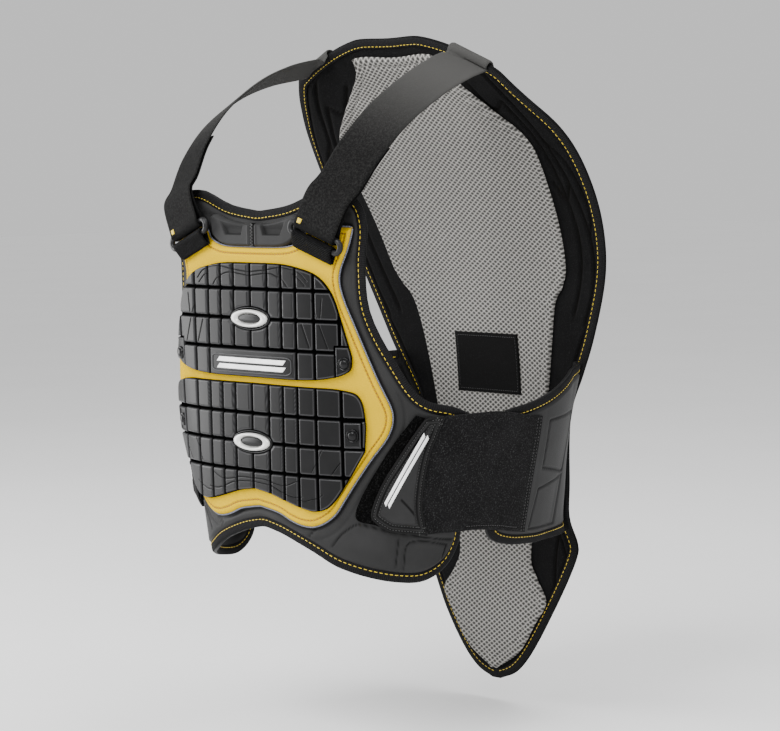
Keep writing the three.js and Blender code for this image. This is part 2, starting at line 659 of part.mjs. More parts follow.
const backOuterRows = backRows(finerRows(BACK_OUTLINE, 2), 10);
const backLoop = loopOf(backOuterRows);

// The same rows inside the tape: the ends and the top row move inward, the rest is spread between them
function rowsInsideTape(rows, loop) {
  const inner = inset(backPoint, loop, BACK_EDGE / 2, TAPE_WIDTH + TAPE_GAP);
  const last = rows.length - 1;
  return rows.map((row, i) => row.map(([x, level], j) => {
    if (i === last && j > 0 && j < row.length - 1) return inner[last + row.length - 1 - j];
    const end = row[row.length - 1];
    return [x * inner[i][0] / end[0], level + inner[i][1] - end[1]];
  }));
}

function backPanel() {
  const rows = rowsInsideTape(backOuterRows, backLoop);
  const outer = mapGrid(rows, (x, level) => backPoint(x, level, backThickness(x, level)));
  const inner = mapGrid(rows, (x, level) => backPoint(x, level, 0));
  return slab(outer, inner);
}

function backLining() {
  const rows = backRows(finerRows(LINING_OUTLINE, 2), 8);
  const outer = mapGrid(rows, (x, level) => backPoint(x, level, -GAP));
  const inner = mapGrid(rows, (x, level) => backPoint(x, level, -GAP - LINING));
  return slab(outer, inner);
}

function backLabel() {
  const middle = BACK_RISE - LABEL_DOWN;
  const seat = -2 * GAP - LINING;
  const low = [-0.5, -0.25, 0, 0.25, 0.5].map((share) => [share * LABEL_WIDTH, middle - LABEL_HEIGHT / 2]);
  const high = low.map(([x]) => [x, middle + LABEL_HEIGHT / 2]);
  return sheet(backPoint, low, high, 3, () => seat, () => seat - LABEL_THICK);
}

// Chest cover
const SHOULDER_POINT = 6;
const COVER_COLUMNS = 10;
const COVER_ROWS = 8;
const coverPlace = placer(0, COVER_WRAP, NECK_LEVEL - COVER_DROP, COVER_HEIGHT);

function chestCover() {
  const neckRows = COVER_OUTLINE.slice(0, SHOULDER_POINT + 1);
  const lastRow = COVER_OUTLINE[COVER_OUTLINE.length - 1];
  const sideRows = [...COVER_OUTLINE.slice(SHOULDER_POINT), { edgeTurn: lastRow.hemTurn, edgeDrop: lastRow.hemDrop }];
  const pieces = (rows, cells) => cells / (rows.length - 1);
  const top = curveThrough(neckRows, 'edgeTurn', 'edgeDrop', coverPlace, pieces(neckRows, COVER_COLUMNS));
  const hem = curveThrough(COVER_OUTLINE, 'hemTurn', 'hemDrop', coverPlace, pieces(COVER_OUTLINE, COVER_COLUMNS));
  const armhole = curveThrough(sideRows, 'edgeTurn', 'edgeDrop', coverPlace, pieces(sideRows, COVER_ROWS));
  const grid = filledGrid(top, armhole, hem);
  return slab(mapGrid(grid, (turn, level) => torsoPoint(turn, level, coverOuter)),
    mapGrid(grid, (turn, level) => torsoPoint(turn, level, COVER_SEAT)));
}

function neckPad() {
  const top = NECK_LEVEL - TAPE_WIDTH - 2 * GAP;
  const place = placer(PAD_SEAM, PAD_WRAP - PAD_SEAM, top, PAD_HEIGHT);
  const edge = curveThrough(PAD_OUTLINE, 'edgeTurn', 'edgeDrop', place, 1);
  const hem = curveThrough(PAD_OUTLINE, 'hemTurn', 'hemDrop', place, 1);
  return sheet(torsoPoint, hem, edge, 4, () => GAP + PAD, () => GAP);
}

// A solid for cutting and joining, from a geometry
function solid(geometry) {
  const merged = mergeVertices(geometry, 1e-4);
  return new wasm.Manifold(new wasm.Mesh({
    numProp: 3,
    vertProperties: new Float32Array(merged.attributes.position.array),
    triVerts: new Uint32Array(merged.index.array),
  }));
}

function geometryOf(body) {
  const mesh = body.getMesh();
  const geometry = new THREE.BufferGeometry();
  geometry.setAttribute('position', new THREE.BufferAttribute(new Float32Array(mesh.vertProperties), 3));
  geometry.setIndex(new THREE.BufferAttribute(new Uint32Array(mesh.triVerts), 1));
  return geometry;
}

// A chest plate: a slab with grooves between its blocks, cut to the plate's outline
function chestPlate(outline, drop, height, rowGrooves, nameField) {
  const top = NECK_LEVEL - drop;
  const margin = 0.2 * height;
  const grooveTurn = THREE.MathUtils.radToDeg(GROOVE_HALF_WIDTH / CHEST_DEPTH);
  const columnTurns = [...COLUMN_GROOVES.map((share) => -share).reverse(), 0, ...COLUMN_GROOVES];
  const ends = 1.03 * PLATE_WRAP;
  const nearEnds = 0.9 * PLATE_WRAP;
  const columns = [{ at: -ends, deep: 0 }, { at: -nearEnds, deep: 0 }];
  for (const share of columnTurns) {
    const turn = share * PLATE_WRAP;
    columns.push({ at: turn - grooveTurn, deep: 0 }, { at: turn, deep: 1 }, { at: turn + grooveTurn, deep: 0 });
  }
  columns.push({ at: nearEnds, deep: 0 }, { at: ends, deep: 0 });
  const rows = [{ at: top - height - margin, deep: 0 }];
  for (const share of [...rowGrooves].reverse()) {
    const level = top - share * height;
    rows.push({ at: level - GROOVE_HALF_WIDTH, deep: 0 }, { at: level, deep: 1 });
    rows.push({ at: level + GROOVE_HALF_WIDTH, deep: 0 });
  }
  rows.push({ at: top + margin, deep: 0 });
  const smooth = (column, row) => nameField && row < 2 && Math.abs(columns[column].at) < NAME_FIELD_WRAP - 2;
  const blocks = columns.map((column, i) => rows.map((row, j) => {
    const depth = row.deep || (column.deep && !smooth(i, j)) ? GROOVE_DEPTH : 0;
    return torsoPoint(column.at, row.at, plateOuter - depth);
  }));
  const floor = columns.map((column) => rows.map((row) => torsoPoint(column.at, row.at, GAP)));
  const place = placer(0, PLATE_WRAP, top, height);
  const { edge, hem } = wholeOutline(outline, place, 1);
  const cutter = sheet(torsoPoint, hem, edge, 3, () => plateOuter + PLATE, () => plateSeat);
  return geometryOf(solid(slab(blocks, floor)).intersect(solid(cutter)));
}

const trimSeat = plateOuter + GAP;

function nameplate(level) {
  const turnSpan = THREE.MathUtils.radToDeg(NAMEPLATE_WIDTH / CHEST_DEPTH);
  const edge = (way) => NAMEPLATE_OUTLINE.map(({ along, half }) =>
    [along * turnSpan, level + way * half * NAMEPLATE_HEIGHT]);
  return sheet(torsoPoint, edge(-1), edge(1), 2, () => trimSeat + NAMEPLATE_RISE, () => trimSeat);
}

// Raised trim with an oval outline, on a surface
function dome(centreTurn, centreLevel, width, height, rise, profile, seat, segments) {
  const { alongU } = derivatives(torsoPoint, centreTurn, centreLevel, seat);
  const turnPerMm = 1 / alongU.length();
  const ring = (radius, out) => Array.from({ length: segments }, (_, k) => {
    const angle = 2 * Math.PI * k / segments;
    const [c, s] = [Math.cos(angle), Math.sin(angle)];
    const turn = centreTurn + radius * c * width / 2 * turnPerMm;
    return torsoPoint(turn, centreLevel + radius * s * height / 2, out);
  });
  const rings = [ring(1, seat)];
  for (const row of [...profile].reverse()) rings.push(ring(row.radius, seat + row.rise * rise));
  return sweep(rings, false);
}

// Straps, rings and anchors, on the wearer's left
const ringCentre = torsoPoint(RING_TURN, NECK_LEVEL - RING_DROP, coverOuter + RING_STANDOFF);
const ringSurface = derivatives(torsoPoint, RING_TURN, NECK_LEVEL - RING_DROP, coverOuter);
const ringNormal = ringSurface.normal;
const ringAcross = ringSurface.alongU.clone().normalize();
const ringUpright = ringAcross.clone().cross(ringNormal).normalize();
if (ringUpright.z < 0) ringUpright.negate();
const lean = THREE.MathUtils.degToRad(STRAP_LEAN);
const ringWidthWay = ringAcross.clone().multiplyScalar(Math.cos(lean)).addScaledVector(ringUpright, -Math.sin(lean));
const ringUpWay = ringAcross.clone().multiplyScalar(Math.sin(lean)).addScaledVector(ringUpright, Math.cos(lean));
const barSpacing = RING_HEIGHT - RING_WIRE;
const upperBar = ringCentre.clone().addScaledVector(ringUpWay, barSpacing / 2);
const lowerBar = ringCentre.clone().addScaledVector(ringUpWay, -barSpacing / 2);

// A flat band through points, with the way of its width at each point
function ribbon(points, widthWays, width, thickness) {
  const rings = points.map((point, i) => {
    const before = points[Math.max(i - 1, 0)];
    const after = points[Math.min(i + 1, points.length - 1)];
    const tangent = after.clone().sub(before).normalize();
    const across = widthWays[i].clone().addScaledVector(tangent, -tangent.dot(widthWays[i])).normalize();
    const face = tangent.clone().cross(across).multiplyScalar(thickness / 2);
    across.multiplyScalar(width / 2);
    return [[1, 1], [1, -1], [-1, -1], [-1, 1]].map(([a, b]) =>
      point.clone().addScaledVector(across, a).addScaledVector(face, b));
  });
  return sweep(rings, false);
}

// Half a turn of a band round a bar, from the body's side to the outside
function foldRound(bar, radius, way) {
  return [0, 1, 2, 3, 4].map((step) => {
    const angle = Math.PI * step / 4;
    return bar.clone()
      .addScaledVector(ringNormal, -radius * Math.cos(angle))
      .addScaledVector(ringUpWay, way * radius * Math.sin(angle));
  });
}

function strap() {
  const radius = (RING_WIRE + STRAP_THICK) / 2 + GAP;
  const edge = backPoint(STRAP_BACK_X, topLevel(STRAP_BACK_X), BACK_EDGE / 2);
  const step = STRAP_WIDTH / 2;
  const inEdge = backPoint(STRAP_BACK_X - step, topLevel(STRAP_BACK_X - step), BACK_EDGE / 2);
  const outEdge = backPoint(STRAP_BACK_X + step, topLevel(STRAP_BACK_X + step), BACK_EDGE / 2);
  const edgeWay = outEdge.sub(inEdge).normalize();
  const backNormal = derivatives(backPoint, STRAP_BACK_X, topLevel(STRAP_BACK_X), 0).normal;
  const overWay = edgeWay.clone().cross(backNormal).normalize();
  if (overWay.z < 0) overWay.negate();
  const start = upperBar.clone().addScaledVector(ringNormal, radius);
  const wrapRadius = (TAPE_THICK + STRAP_THICK) / 2 + STRAP_OVER_TAPE;
  const wrapMiddle = edge.clone().addScaledVector(overWay, STRAP_OVER_TAPE + STRAP_THICK / 2 - wrapRadius);
  const wrap = [0, 1, 2, 3, 4].map((share) => {
    const angle = Math.PI * share / 4;
    return wrapMiddle.clone()
      .addScaledVector(backNormal, -wrapRadius * Math.cos(angle))
      .addScaledVector(overWay, wrapRadius * Math.sin(angle));
  });
  const span = wrap[0].clone().sub(start);
  const route = SHOULDER_ROUTE.map(({ along, rise, splay }) => new THREE.Vector3(
    start.x + splay * STRAP_SPLAY, start.y + along * span.y, start.z + rise * span.z));
  const curve = new THREE.CatmullRomCurve3([start, ...route, wrap[0]], false, 'catmullrom');
  const steps = 18;
  const main = curve.getSpacedPoints(steps);
  const length = curve.getLength();
  const back = [0.25, 0.5, 0.75, 1].map((share) => {
    const reach = share * STRAP_BACK_LAP;
    const flat = edge.clone().addScaledVector(overWay, -reach - wrapRadius);
    const seat = backThickness(flat.x, flat.z) + STRAP_OVER_TAPE + STRAP_THICK / 2;
    return backPoint(flat.x, flat.z, seat);
  });
  const wayAt = (share) => ringWidthWay.clone().lerp(edgeWay, THREE.MathUtils.smoothstep(share, 0.1, 0.9)).normalize();
  const returned = [];
  const returnSteps = Math.round(steps * RETURN_LENGTH / length);
  for (let k = returnSteps; k >= 1; k -= 1) {
    const tangent = main[k + 1].clone().sub(main[k - 1]).normalize();
    const face = tangent.cross(wayAt(k / steps)).normalize();
    if (face.dot(ringNormal) < 0) face.negate();
    const apart = STRAP_THICK + GAP;
    const flare = (2 * radius - apart) * Math.exp(-k / steps * length / RETURN_FLARE);
    returned.push({ point: main[k].clone().addScaledVector(face, -apart - flare), way: wayAt(k / steps) });
  }
  const points = [...returned.map((row) => row.point), ...foldRound(upperBar, radius, -1).slice(0, -1),
    ...main.slice(0, -1), ...wrap, ...back];
  const ways = [...returned.map((row) => row.way), ...Array(4).fill(ringWidthWay),
    ...main.slice(0, -1).map((_, k) => wayAt(k / steps)), ...Array(wrap.length + back.length).fill(edgeWay)];
  return ribbon(points, ways, STRAP_WIDTH, STRAP_THICK);
}

function strapRing() {
  const halfBar = STRAP_WIDTH / 2 + RING_SIDE_PLAY;
  const radius = barSpacing / 2;
  const outline = [];
  for (const side of [1, -1]) {
    for (let step = 0; step <= 6; step += 1) {
      const angle = Math.PI * (step / 6 - 0.5);
      outline.push([side * (halfBar + radius * Math.cos(angle)), side * radius * Math.sin(angle)]);
    }
  }
  const at = ([a, b]) => ringCentre.clone().addScaledVector(ringWidthWay, a).addScaledVector(ringUpWay, b);
  const count = outline.length;
  const rings = outline.map((pair, i) => {
    const tangent = at(outline[(i + 1) % count]).sub(at(outline[(i + count - 1) % count])).normalize();
    const side = tangent.clone().cross(ringNormal).normalize();
    return Array.from({ length: 6 }, (_, k) => {
      const angle = 2 * Math.PI * k / 6;
      return at(pair)
        .addScaledVector(side, RING_WIRE / 2 * Math.cos(angle))
        .addScaledVector(ringNormal, RING_WIRE / 2 * Math.sin(angle));
    });
  });
  return sweep(rings, true);
}

function strapAnchor() {
  const radius = (RING_WIRE + ANCHOR_THICK) / 2 + GAP;
  const foot = lowerBar.clone().addScaledVector(ringUpWay, -ANCHOR_LENGTH);
  const seat = RING_STANDOFF - GAP - ANCHOR_THICK / 2;
  const under = foot.clone().addScaledVector(ringNormal, -seat);
  const over = under.clone().addScaledVector(ringNormal, ANCHOR_THICK + GAP);
  const fold = foldRound(lowerBar, radius, 1);
  const points = [under, under.clone().lerp(fold[0], 0.5), ...fold, over.clone().lerp(fold[4], 0.4), over];
  return ribbon(points, points.map(() => ringWidthWay), STRAP_WIDTH, ANCHOR_THICK);
}

// Belt pieces, on the wearer's left
const beltPlace = (start, span) => placer(start, span, beltLevel, BELT_HEIGHT);
const sidePlace = beltPlace(0, 1);
const sideEdge = curveThrough(SIDE_OUTLINE, 'edgeTurn', 'edgeDrop', sidePlace, 1);
const sideHem = curveThrough(SIDE_OUTLINE, 'hemTurn', 'hemDrop', sidePlace, 1);

function sidePanel() {
  const path = [...[...sideEdge].reverse(), ...sideHem];
  const inner = inset(sidePoint, path, foamMiddle, TAPE_WIDTH + TAPE_GAP, false);
  const edge = inner.slice(0, sideEdge.length).reverse();
  const hem = inner.slice(sideEdge.length);
  return sheet(sidePoint, hem, edge, 6, () => 0, () => -FOAM);
}

function sideTape() {
  return edgeTape(sidePoint, [...[...sideEdge].reverse(), ...sideHem], foamMiddle, false);
}

function beltElastic() {
  const place = beltPlace(ELASTIC_START, ELASTIC_TURN);
  const edge = curveThrough(ELASTIC_OUTLINE, 'edgeTurn', 'edgeDrop', place, 2);
  const hem = curveThrough(ELASTIC_OUTLINE, 'hemTurn', 'hemDrop', place, 2);
  return sheet(torsoPoint, hem, edge, 4, () => elasticOuter, () => GAP);
}

function beltTab() {
  const place = beltPlace(TAB_START, TAB_TURN);
  const front = curveThrough(TAB_OUTLINE, 'frontTurn', 'frontDrop', place, 1);
  const rear = curveThrough(TAB_OUTLINE, 'rearTurn', 'rearDrop', place, 1);
  const seat = elasticOuter + GAP;
  return sheet(torsoPoint, front, rear, 4, () => seat + TAB, () => seat);
}

function hookPatch() {
  const place = beltPlace(PATCH_START, PATCH_TURN);
  const front = curveThrough(PATCH_OUTLINE, 'frontTurn', 'frontDrop', place, 2);
  const rear = curveThrough(PATCH_OUTLINE, 'rearTurn', 'rearDrop', place, 2);
  return sheet(torsoPoint, front, rear, 2, () => PATCH_SEAT + PATCH, () => PATCH_SEAT);
}

// The same body on the wearer's right
function mirrored(geometry) {
  const twin = geometry.clone();
  const position = twin.attributes.position;
  for (let i = 0; i < position.count; i += 1) position.setX(i, -position.getX(i));
  const index = Array.from(twin.index.array);
  for (let i = 0; i < index.length; i += 3) [index[i + 1], index[i + 2]] = [index[i + 2], index[i + 1]];
  twin.setIndex(index);
  return twin;
}

const protector = new THREE.Group();

function add(name, geometry, finish) {
  geometry.computeVertexNormals();
  const mesh = new THREE.Mesh(geometry, finish);
  mesh.name = name;
  protector.add(mesh);
}

function addPair(name, geometry, finish) {
  add(`${name}_left`, geometry, finish);
  add(`${name}_right`, mirrored(geometry), finish);
}

add('back_panel', backPanel(), MATERIALS.neoprene);
add('back_lining', backLining(), MATERIALS.mesh);
add('back_tape', edgeTape(backPoint, backLoop, BACK_EDGE / 2, true), MATERIALS.tape);
add('back_label', backLabel(), MATERIALS.neoprene);
add('front_panel', frontPanel(), MATERIALS.foam);
add('front_tape', edgeTape(torsoPoint, frontLoop, foamMiddle, true), MATERIALS.tape);
add('chest_cover', chestCover(), MATERIALS.yellow);
addPair('neck_pad', neckPad(), MATERIALS.foam);
add('chest_plate_upper',
  chestPlate(UPPER_PLATE_OUTLINE, UPPER_PLATE_DROP, UPPER_PLATE_HEIGHT, UPPER_ROW_GROOVES, true), MATERIALS.plate);
add('chest_plate_lower',
  chestPlate(LOWER_PLATE_OUTLINE, LOWER_PLATE_DROP, LOWER_PLATE_HEIGHT, LOWER_ROW_GROOVES, false), MATERIALS.plate);

const upperAt = (share) => NECK_LEVEL - UPPER_PLATE_DROP - share * UPPER_PLATE_HEIGHT;
const lowerAt = (share) => NECK_LEVEL - LOWER_PLATE_DROP - share * LOWER_PLATE_HEIGHT;
const badge = (level) => dome(0, level, BADGE_WIDTH, BADGE_HEIGHT, BADGE_RISE, BADGE_PROFILE, trimSeat, 16);
add('badge_upper', badge(upperAt(UPPER_ROW_GROOVES[1])), MATERIALS.silver);
add('badge_lower', badge(lowerAt(LOWER_ROW_GROOVES[1])), MATERIALS.silver);
add('nameplate', nameplate(upperAt(0.885)), MATERIALS.plate);
const stud = (turn, level) => dome(turn, level, STUD_DIAMETER, STUD_DIAMETER, STUD_RISE, STUD_PROFILE, trimSeat, 8);
addPair('stud_upper', stud(0.82 * PLATE_WRAP, upperAt(0.84)), MATERIALS.plate);
addPair('stud_lower', stud(0.861 * PLATE_WRAP, lowerAt(0.43)), MATERIALS.plate);

addPair('shoulder_strap', strap(), MATERIALS.webbing);
addPair('strap_ring', strapRing(), MATERIALS.plate);
addPair('strap_anchor', strapAnchor(), MATERIALS.webbing);
addPair('hook_patch', hookPatch(), MATERIALS.neoprene);
addPair('belt_tab', beltTab(), MATERIALS.foam);
addPair('belt_elastic', beltElastic(), MATERIALS.elastic);
addPair('side_panel', sidePanel(), MATERIALS.foam);
addPair('side_tape', sideTape(), MATERIALS.tape);

export default protector;
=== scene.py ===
"""Back and chest protector: the looks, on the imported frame. Sizes in the functions are millimetres."""
import math

import bpy
import numpy as np
from mathutils import Matrix, Vector


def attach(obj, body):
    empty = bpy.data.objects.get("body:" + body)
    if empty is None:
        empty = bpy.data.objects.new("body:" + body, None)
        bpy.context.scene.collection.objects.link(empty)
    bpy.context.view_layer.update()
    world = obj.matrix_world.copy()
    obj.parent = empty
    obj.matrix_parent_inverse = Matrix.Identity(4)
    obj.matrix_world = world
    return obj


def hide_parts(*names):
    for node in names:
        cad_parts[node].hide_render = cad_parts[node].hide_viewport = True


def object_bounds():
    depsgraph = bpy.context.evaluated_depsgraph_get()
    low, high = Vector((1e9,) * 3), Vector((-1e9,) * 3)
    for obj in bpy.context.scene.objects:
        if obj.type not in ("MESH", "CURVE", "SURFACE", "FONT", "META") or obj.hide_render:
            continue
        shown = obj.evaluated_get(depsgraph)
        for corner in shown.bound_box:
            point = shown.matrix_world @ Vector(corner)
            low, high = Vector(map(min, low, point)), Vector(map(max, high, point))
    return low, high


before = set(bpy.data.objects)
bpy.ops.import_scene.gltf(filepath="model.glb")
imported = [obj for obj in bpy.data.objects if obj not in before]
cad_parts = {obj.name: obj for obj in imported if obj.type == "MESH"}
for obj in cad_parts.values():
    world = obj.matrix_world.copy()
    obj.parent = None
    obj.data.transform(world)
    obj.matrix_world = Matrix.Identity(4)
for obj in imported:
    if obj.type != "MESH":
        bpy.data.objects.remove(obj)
cad_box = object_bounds()

bl_info = {
    "name": "Back and chest protector",
    "version": (1, 0, 0),
    "blender": (4, 5, 0),
    "location": "View3D > Sidebar > Protector",
    "description": "Builds the padded panels, plates, straps and belt of a worn guard on its frame",
    "category": "Object",
}

# Driving dimensions of the torso
BACK_HEIGHT = 603.0
BACK_RISE = 33.0
BACK_HALF_WIDTH = 173.0
BACK_SWEEP = 178.0
EDGE_CURL = 30.0
CHEST_HALF_BREADTH = 198.0
CHEST_DEPTH = 141.0
BELT_DEPTH = 170.0
AXIS_BEHIND = 20.0
CHEST_SQUARENESS = 3.0
BELT_SQUARENESS = 2.2

# Panels
NECK_DROP = 118.0
FRONT_HEIGHT = 274.0
WING_WRAP = 76.0
FOAM = 8.0
BACK_EDGE = 6.0
BACK_CORE = 16.0
CORE_FALLS_OVER = 60.0
TOP_BOW_POWER = 2.0
NAPE_DIP = 4.0
NAPE_HALF_WIDTH = 45.0
LINING = 3.0
GAP = 0.5

# Trim
TAPE_WIDTH = 9.0
TAPE_THICK = 5.4
COVER_DROP = 35.0
COVER_HEIGHT = 220.0
COVER_WRAP = 50.6
COVER = 4.0
PAD_WRAP = 22.0
PAD_HEIGHT = 20.5
PAD = 5.0
PAD_SEAM = 0.4
PLATE = 4.5
PLATE_GAP = 0.7
PLATE_WRAP = 46.0
UPPER_PLATE_DROP = 44.0
UPPER_PLATE_HEIGHT = 99.0
LOWER_PLATE_DROP = 148.0
LOWER_PLATE_HEIGHT = 92.0
LABEL_WIDTH = 82.0
LABEL_HEIGHT = 57.0
LABEL_DOWN = 301.0

# Straps and rings
STRAP_WIDTH = 46.0
STRAP_THICK = 1.8
STRAP_LEAN = 20.0
STRAP_SPLAY = 30.0
STRAP_BACK_X = 0.578 * BACK_HALF_WIDTH
STRAP_BACK_LAP = 60.0
STRAP_OVER_TAPE = 1.0
RETURN_LENGTH = 95.0
RETURN_FLARE = 12.0
RING_TURN = 29.5
RING_DROP = 21.0
RING_STANDOFF = 5.5
RING_HEIGHT = 15.5
RING_WIRE = 5.0
RING_SIDE_PLAY = 1.0
ANCHOR_THICK = 1.6
ANCHOR_LENGTH = 11.0

# Belt
SIDE_START = 88.0
SIDE_TURN = 52.0
SIDE_BLEND_FROM = 0.75
SIDE_LAP = 8.0
SIDE_SPREAD = 110.0
BELT_DROP = 172.0
BELT_HEIGHT = 104.0
ELASTIC_START = 57.0
ELASTIC_TURN = 48.0
ELASTIC = 2.0
TAB_START = 44.0
TAB_TURN = 21.0
TAB = 4.5
PATCH_START = 39.5
PATCH_TURN = 20.5
PATCH = 1.3
PATCH_SEAT = 0.9

NECK_LEVEL = -NECK_DROP
BELT_LEVEL = NECK_LEVEL - BELT_DROP
COVER_OUTER = GAP + COVER
PLATE_SEAT = COVER_OUTER + PLATE_GAP
PLATE_OUTER = PLATE_SEAT + PLATE
ELASTIC_OUTER = GAP + ELASTIC

TORSO = {
    "down": (0.17, 0.31, 0.38, 0.45, 0.56, 0.66, 0.74, 0.79),
    "breadth": (1.035, 1.0, 0.97, 0.915, 0.843, 0.758, 0.695, 0.66),
}
SPINE = {
    "down": (0.0, 0.07, 0.14, 0.21, 0.3, 0.38, 0.5, 0.65, 0.83, 0.9, 1.0),
    "behind": (0.19, 0.36, 0.49, 0.63, 0.785, 0.877, 0.933, 0.948, 0.95, 0.93, 0.928),
    "curl": (1.0, 0.9, 0.15, 0.05, 0.1, 0.25, 0.42, 0.45, 0.15, 0.05, 0.0),
}
BACK_OUTLINE = {
    "down": (0.999, 0.985, 0.955, 0.905, 0.85, 0.792, 0.768, 0.731, 0.68, 0.575, 0.51, 0.46, 0.365, 0.3, 0.24,
             0.185, 0.14, 0.1, 0.06),
    "half": (0.03, 0.145, 0.252, 0.372, 0.48, 0.59, 0.598, 0.54, 0.55, 0.573, 0.68, 0.768, 0.905, 0.965, 0.995,
             0.99, 0.945, 0.85, 0.75),
    "bow": (0, 0, 0, 0, 0, 0, 0, 0, 0, 0, 0, 0, 0, 0.005, 0.012, 0.023, 0.035, 0.048, 0.062),
}
LINING_OUTLINE = {
    "down": (0.982, 0.95, 0.9, 0.866, 0.83, 0.79, 0.66, 0.56, 0.415, 0.375, 0.335, 0.2, 0.15, 0.11, 0.075, 0.05,
             0.028),
    "half": (0.02, 0.195, 0.318, 0.387, 0.31, 0.27, 0.36, 0.42, 0.52, 0.61, 0.665, 0.72, 0.7, 0.56, 0.42, 0.33,
             0.3),
    "bow": (0, 0, 0, 0, 0, 0, 0, 0, 0, 0, 0, 0, 0, 0.005, 0.01, 0.012, 0.006),
}
FRONT_OUTLINE = {
    "edge_turn": (0.0, 0.21, 0.41, 0.545, 0.588, 0.579, 0.595, 0.684, 0.776, 0.9, 1.0),
    "edge_drop": (0.0, -0.02, -0.066, -0.045, 0.04, 0.17, 0.31, 0.463, 0.573, 0.605, 0.64),
    "hem_turn": (0.0, 0.14, 0.3, 0.408, 0.46, 0.555, 0.67, 0.79, 0.885, 0.955, 0.995),
    "hem_drop": (1.0, 1.02, 1.06, 1.099, 1.114, 1.136, 1.155, 1.162, 1.141, 1.1, 1.04),
}
COVER_OUTLINE = {
    "edge_turn": (0.0, 0.277, 0.385, 0.464, 0.504, 0.632, 0.804, 0.771, 0.717, 0.731, 0.812, 0.919, 0.994),
    "edge_drop": (-0.016, -0.018, -0.028, -0.05, -0.086, -0.1, -0.1, -0.02, 0.077, 0.159, 0.295, 0.477, 0.595),
    "hem_turn": (0.0, 0.194, 0.296, 0.381, 0.445, 0.504, 0.577, 0.652, 0.717, 0.781, 0.875, 0.964, 0.998),
    "hem_drop": (1.0, 1.018, 1.041, 1.056, 1.061, 1.059, 1.041, 1.005, 0.945, 0.882, 0.791, 0.709, 0.655),
}
SHOULDER_POINT = 6
PAD_OUTLINE = {
    "edge_turn": (0.0, 0.33, 0.66, 0.9, 1.0),
    "edge_drop": (0.0, -0.02, -0.17, -0.38, -0.28),
    "hem_turn": (0.0, 0.33, 0.58, 0.8, 0.965),
    "hem_drop": (1.0, 1.0, 0.98, 0.84, 0.52),
}
UPPER_PLATE_OUTLINE = {
    "edge_turn": (0.0, 0.304, 0.478, 0.609, 0.696, 0.761, 0.811, 0.854),
    "edge_drop": (0.0, 0.005, 0.035, 0.081, 0.162, 0.293, 0.505, 0.707),
    "hem_turn": (0.0, 0.217, 0.435, 0.609, 0.717, 0.804, 0.859, 0.87),
    "hem_drop": (1.0, 1.0, 1.0, 0.99, 0.97, 0.939, 0.889, 0.788),
}
LOWER_PLATE_OUTLINE = {
    "edge_turn": (0.0, 0.326, 0.587, 0.738, 0.851, 0.903, 0.932, 0.946),
    "edge_drop": (0.0, 0.003, 0.006, 0.009, 0.031, 0.069, 0.17, 0.35),
    "hem_turn": (0.0, 0.183, 0.34, 0.47, 0.587, 0.703, 0.824, 0.936),
    "hem_drop": (1.0, 1.035, 1.09, 1.135, 1.157, 1.091, 0.859, 0.583),
}
COLUMN_GROOVES = (0.183, 0.326, 0.461, 0.613, 0.796)
UPPER_ROW_GROOVES = (0.227, 0.485, 0.747)
LOWER_ROW_GROOVES = (0.283, 0.554, 0.826)
UPPER_BADGE_LEVEL = NECK_LEVEL - UPPER_PLATE_DROP - UPPER_ROW_GROOVES[1] * UPPER_PLATE_HEIGHT
LOWER_BADGE_LEVEL = NECK_LEVEL - LOWER_PLATE_DROP - LOWER_ROW_GROOVES[1] * LOWER_PLATE_HEIGHT
UPPER_STUD = (0.82 * PLATE_WRAP, NECK_LEVEL - UPPER_PLATE_DROP - 0.84 * UPPER_PLATE_HEIGHT, 14.0)
LOWER_STUD = (0.861 * PLATE_WRAP, NECK_LEVEL - LOWER_PLATE_DROP - 0.43 * LOWER_PLATE_HEIGHT, 11.0)

# Incised curves of the plates as turn and level: the first group stands on both sides, the second once
UPPER_CURVES = (
    (
        ((26.0, -176.4), (23.4, -170.0), (19.2, -166.2), (14.4, -165.5), (7.9, -167.9), (0.0, -169.9)),
        ((18.3, -182.2), (16.1, -176.0), (12.0, -171.5), (8.0, -170.8), (0.0, -173.2)),
        ((20.4, -170.5), (22.9, -174.4), (25.3, -180.3)),
        ((27.5, -191.6), (29.4, -207.5)),
        ((31.2, -190.6), (30.6, -207.0)),
        ((23.8, -212.7), (26.6, -232.7)),
        ((30.2, -212.8), (32.9, -232.7)),
    ),
    (),
)
LOWER_CURVES = (
    (
        ((0.0, -348.5), (6.6, -348.8), (11.0, -351.2), (15.9, -351.8), (20.8, -346.9)),
        ((0.0, -351.4), (7.5, -352.8), (10.7, -354.6), (14.4, -358.2), (18.4, -361.0), (22.5, -360.5)),
        ((20.5, -363.6), (23.8, -363.6), (26.0, -361.9), (28.3, -360.1), (29.9, -357.2)),
        ((30.4, -317.2), (26.4, -338.1)),
        ((35.9, -328.8), (33.1, -339.0)),
    ),
    (),
)
WING_CREASES = (
    ((37.5, -386.0), (40.7, -383.0), (48.2, -388.0), (57.6, -394.0), (64.6, -398.0), (73.0, -401.0)),
    ((37.5, -386.0), (34.5, -392.5), (31.5, -402.0)),
    ((21.9, -398.4), (23.9, -392.0), (25.7, -389.0)),
    ((52.5, -395.0), (51.5, -421.0)),
    ((54.1, -426.0), (56.0, -400.0), (68.3, -404.0), (69.1, -407.0), (67.3, -422.0)),
)
SIDE_BOXES = (
    ((0.41, -305.0), (0.8, -303.0), (0.8, -357.0), (0.455, -348.0)),
    ((0.462, -367.0), (0.8, -361.0), (0.8, -405.0), (0.445, -403.0)),
)
TAB_RIDGE = ((53.0, -361.0), (55.4, -369.0), (57.7, -378.0))
TAB_PRINT = ((59.4, -306.0), (48.8, -365.5))
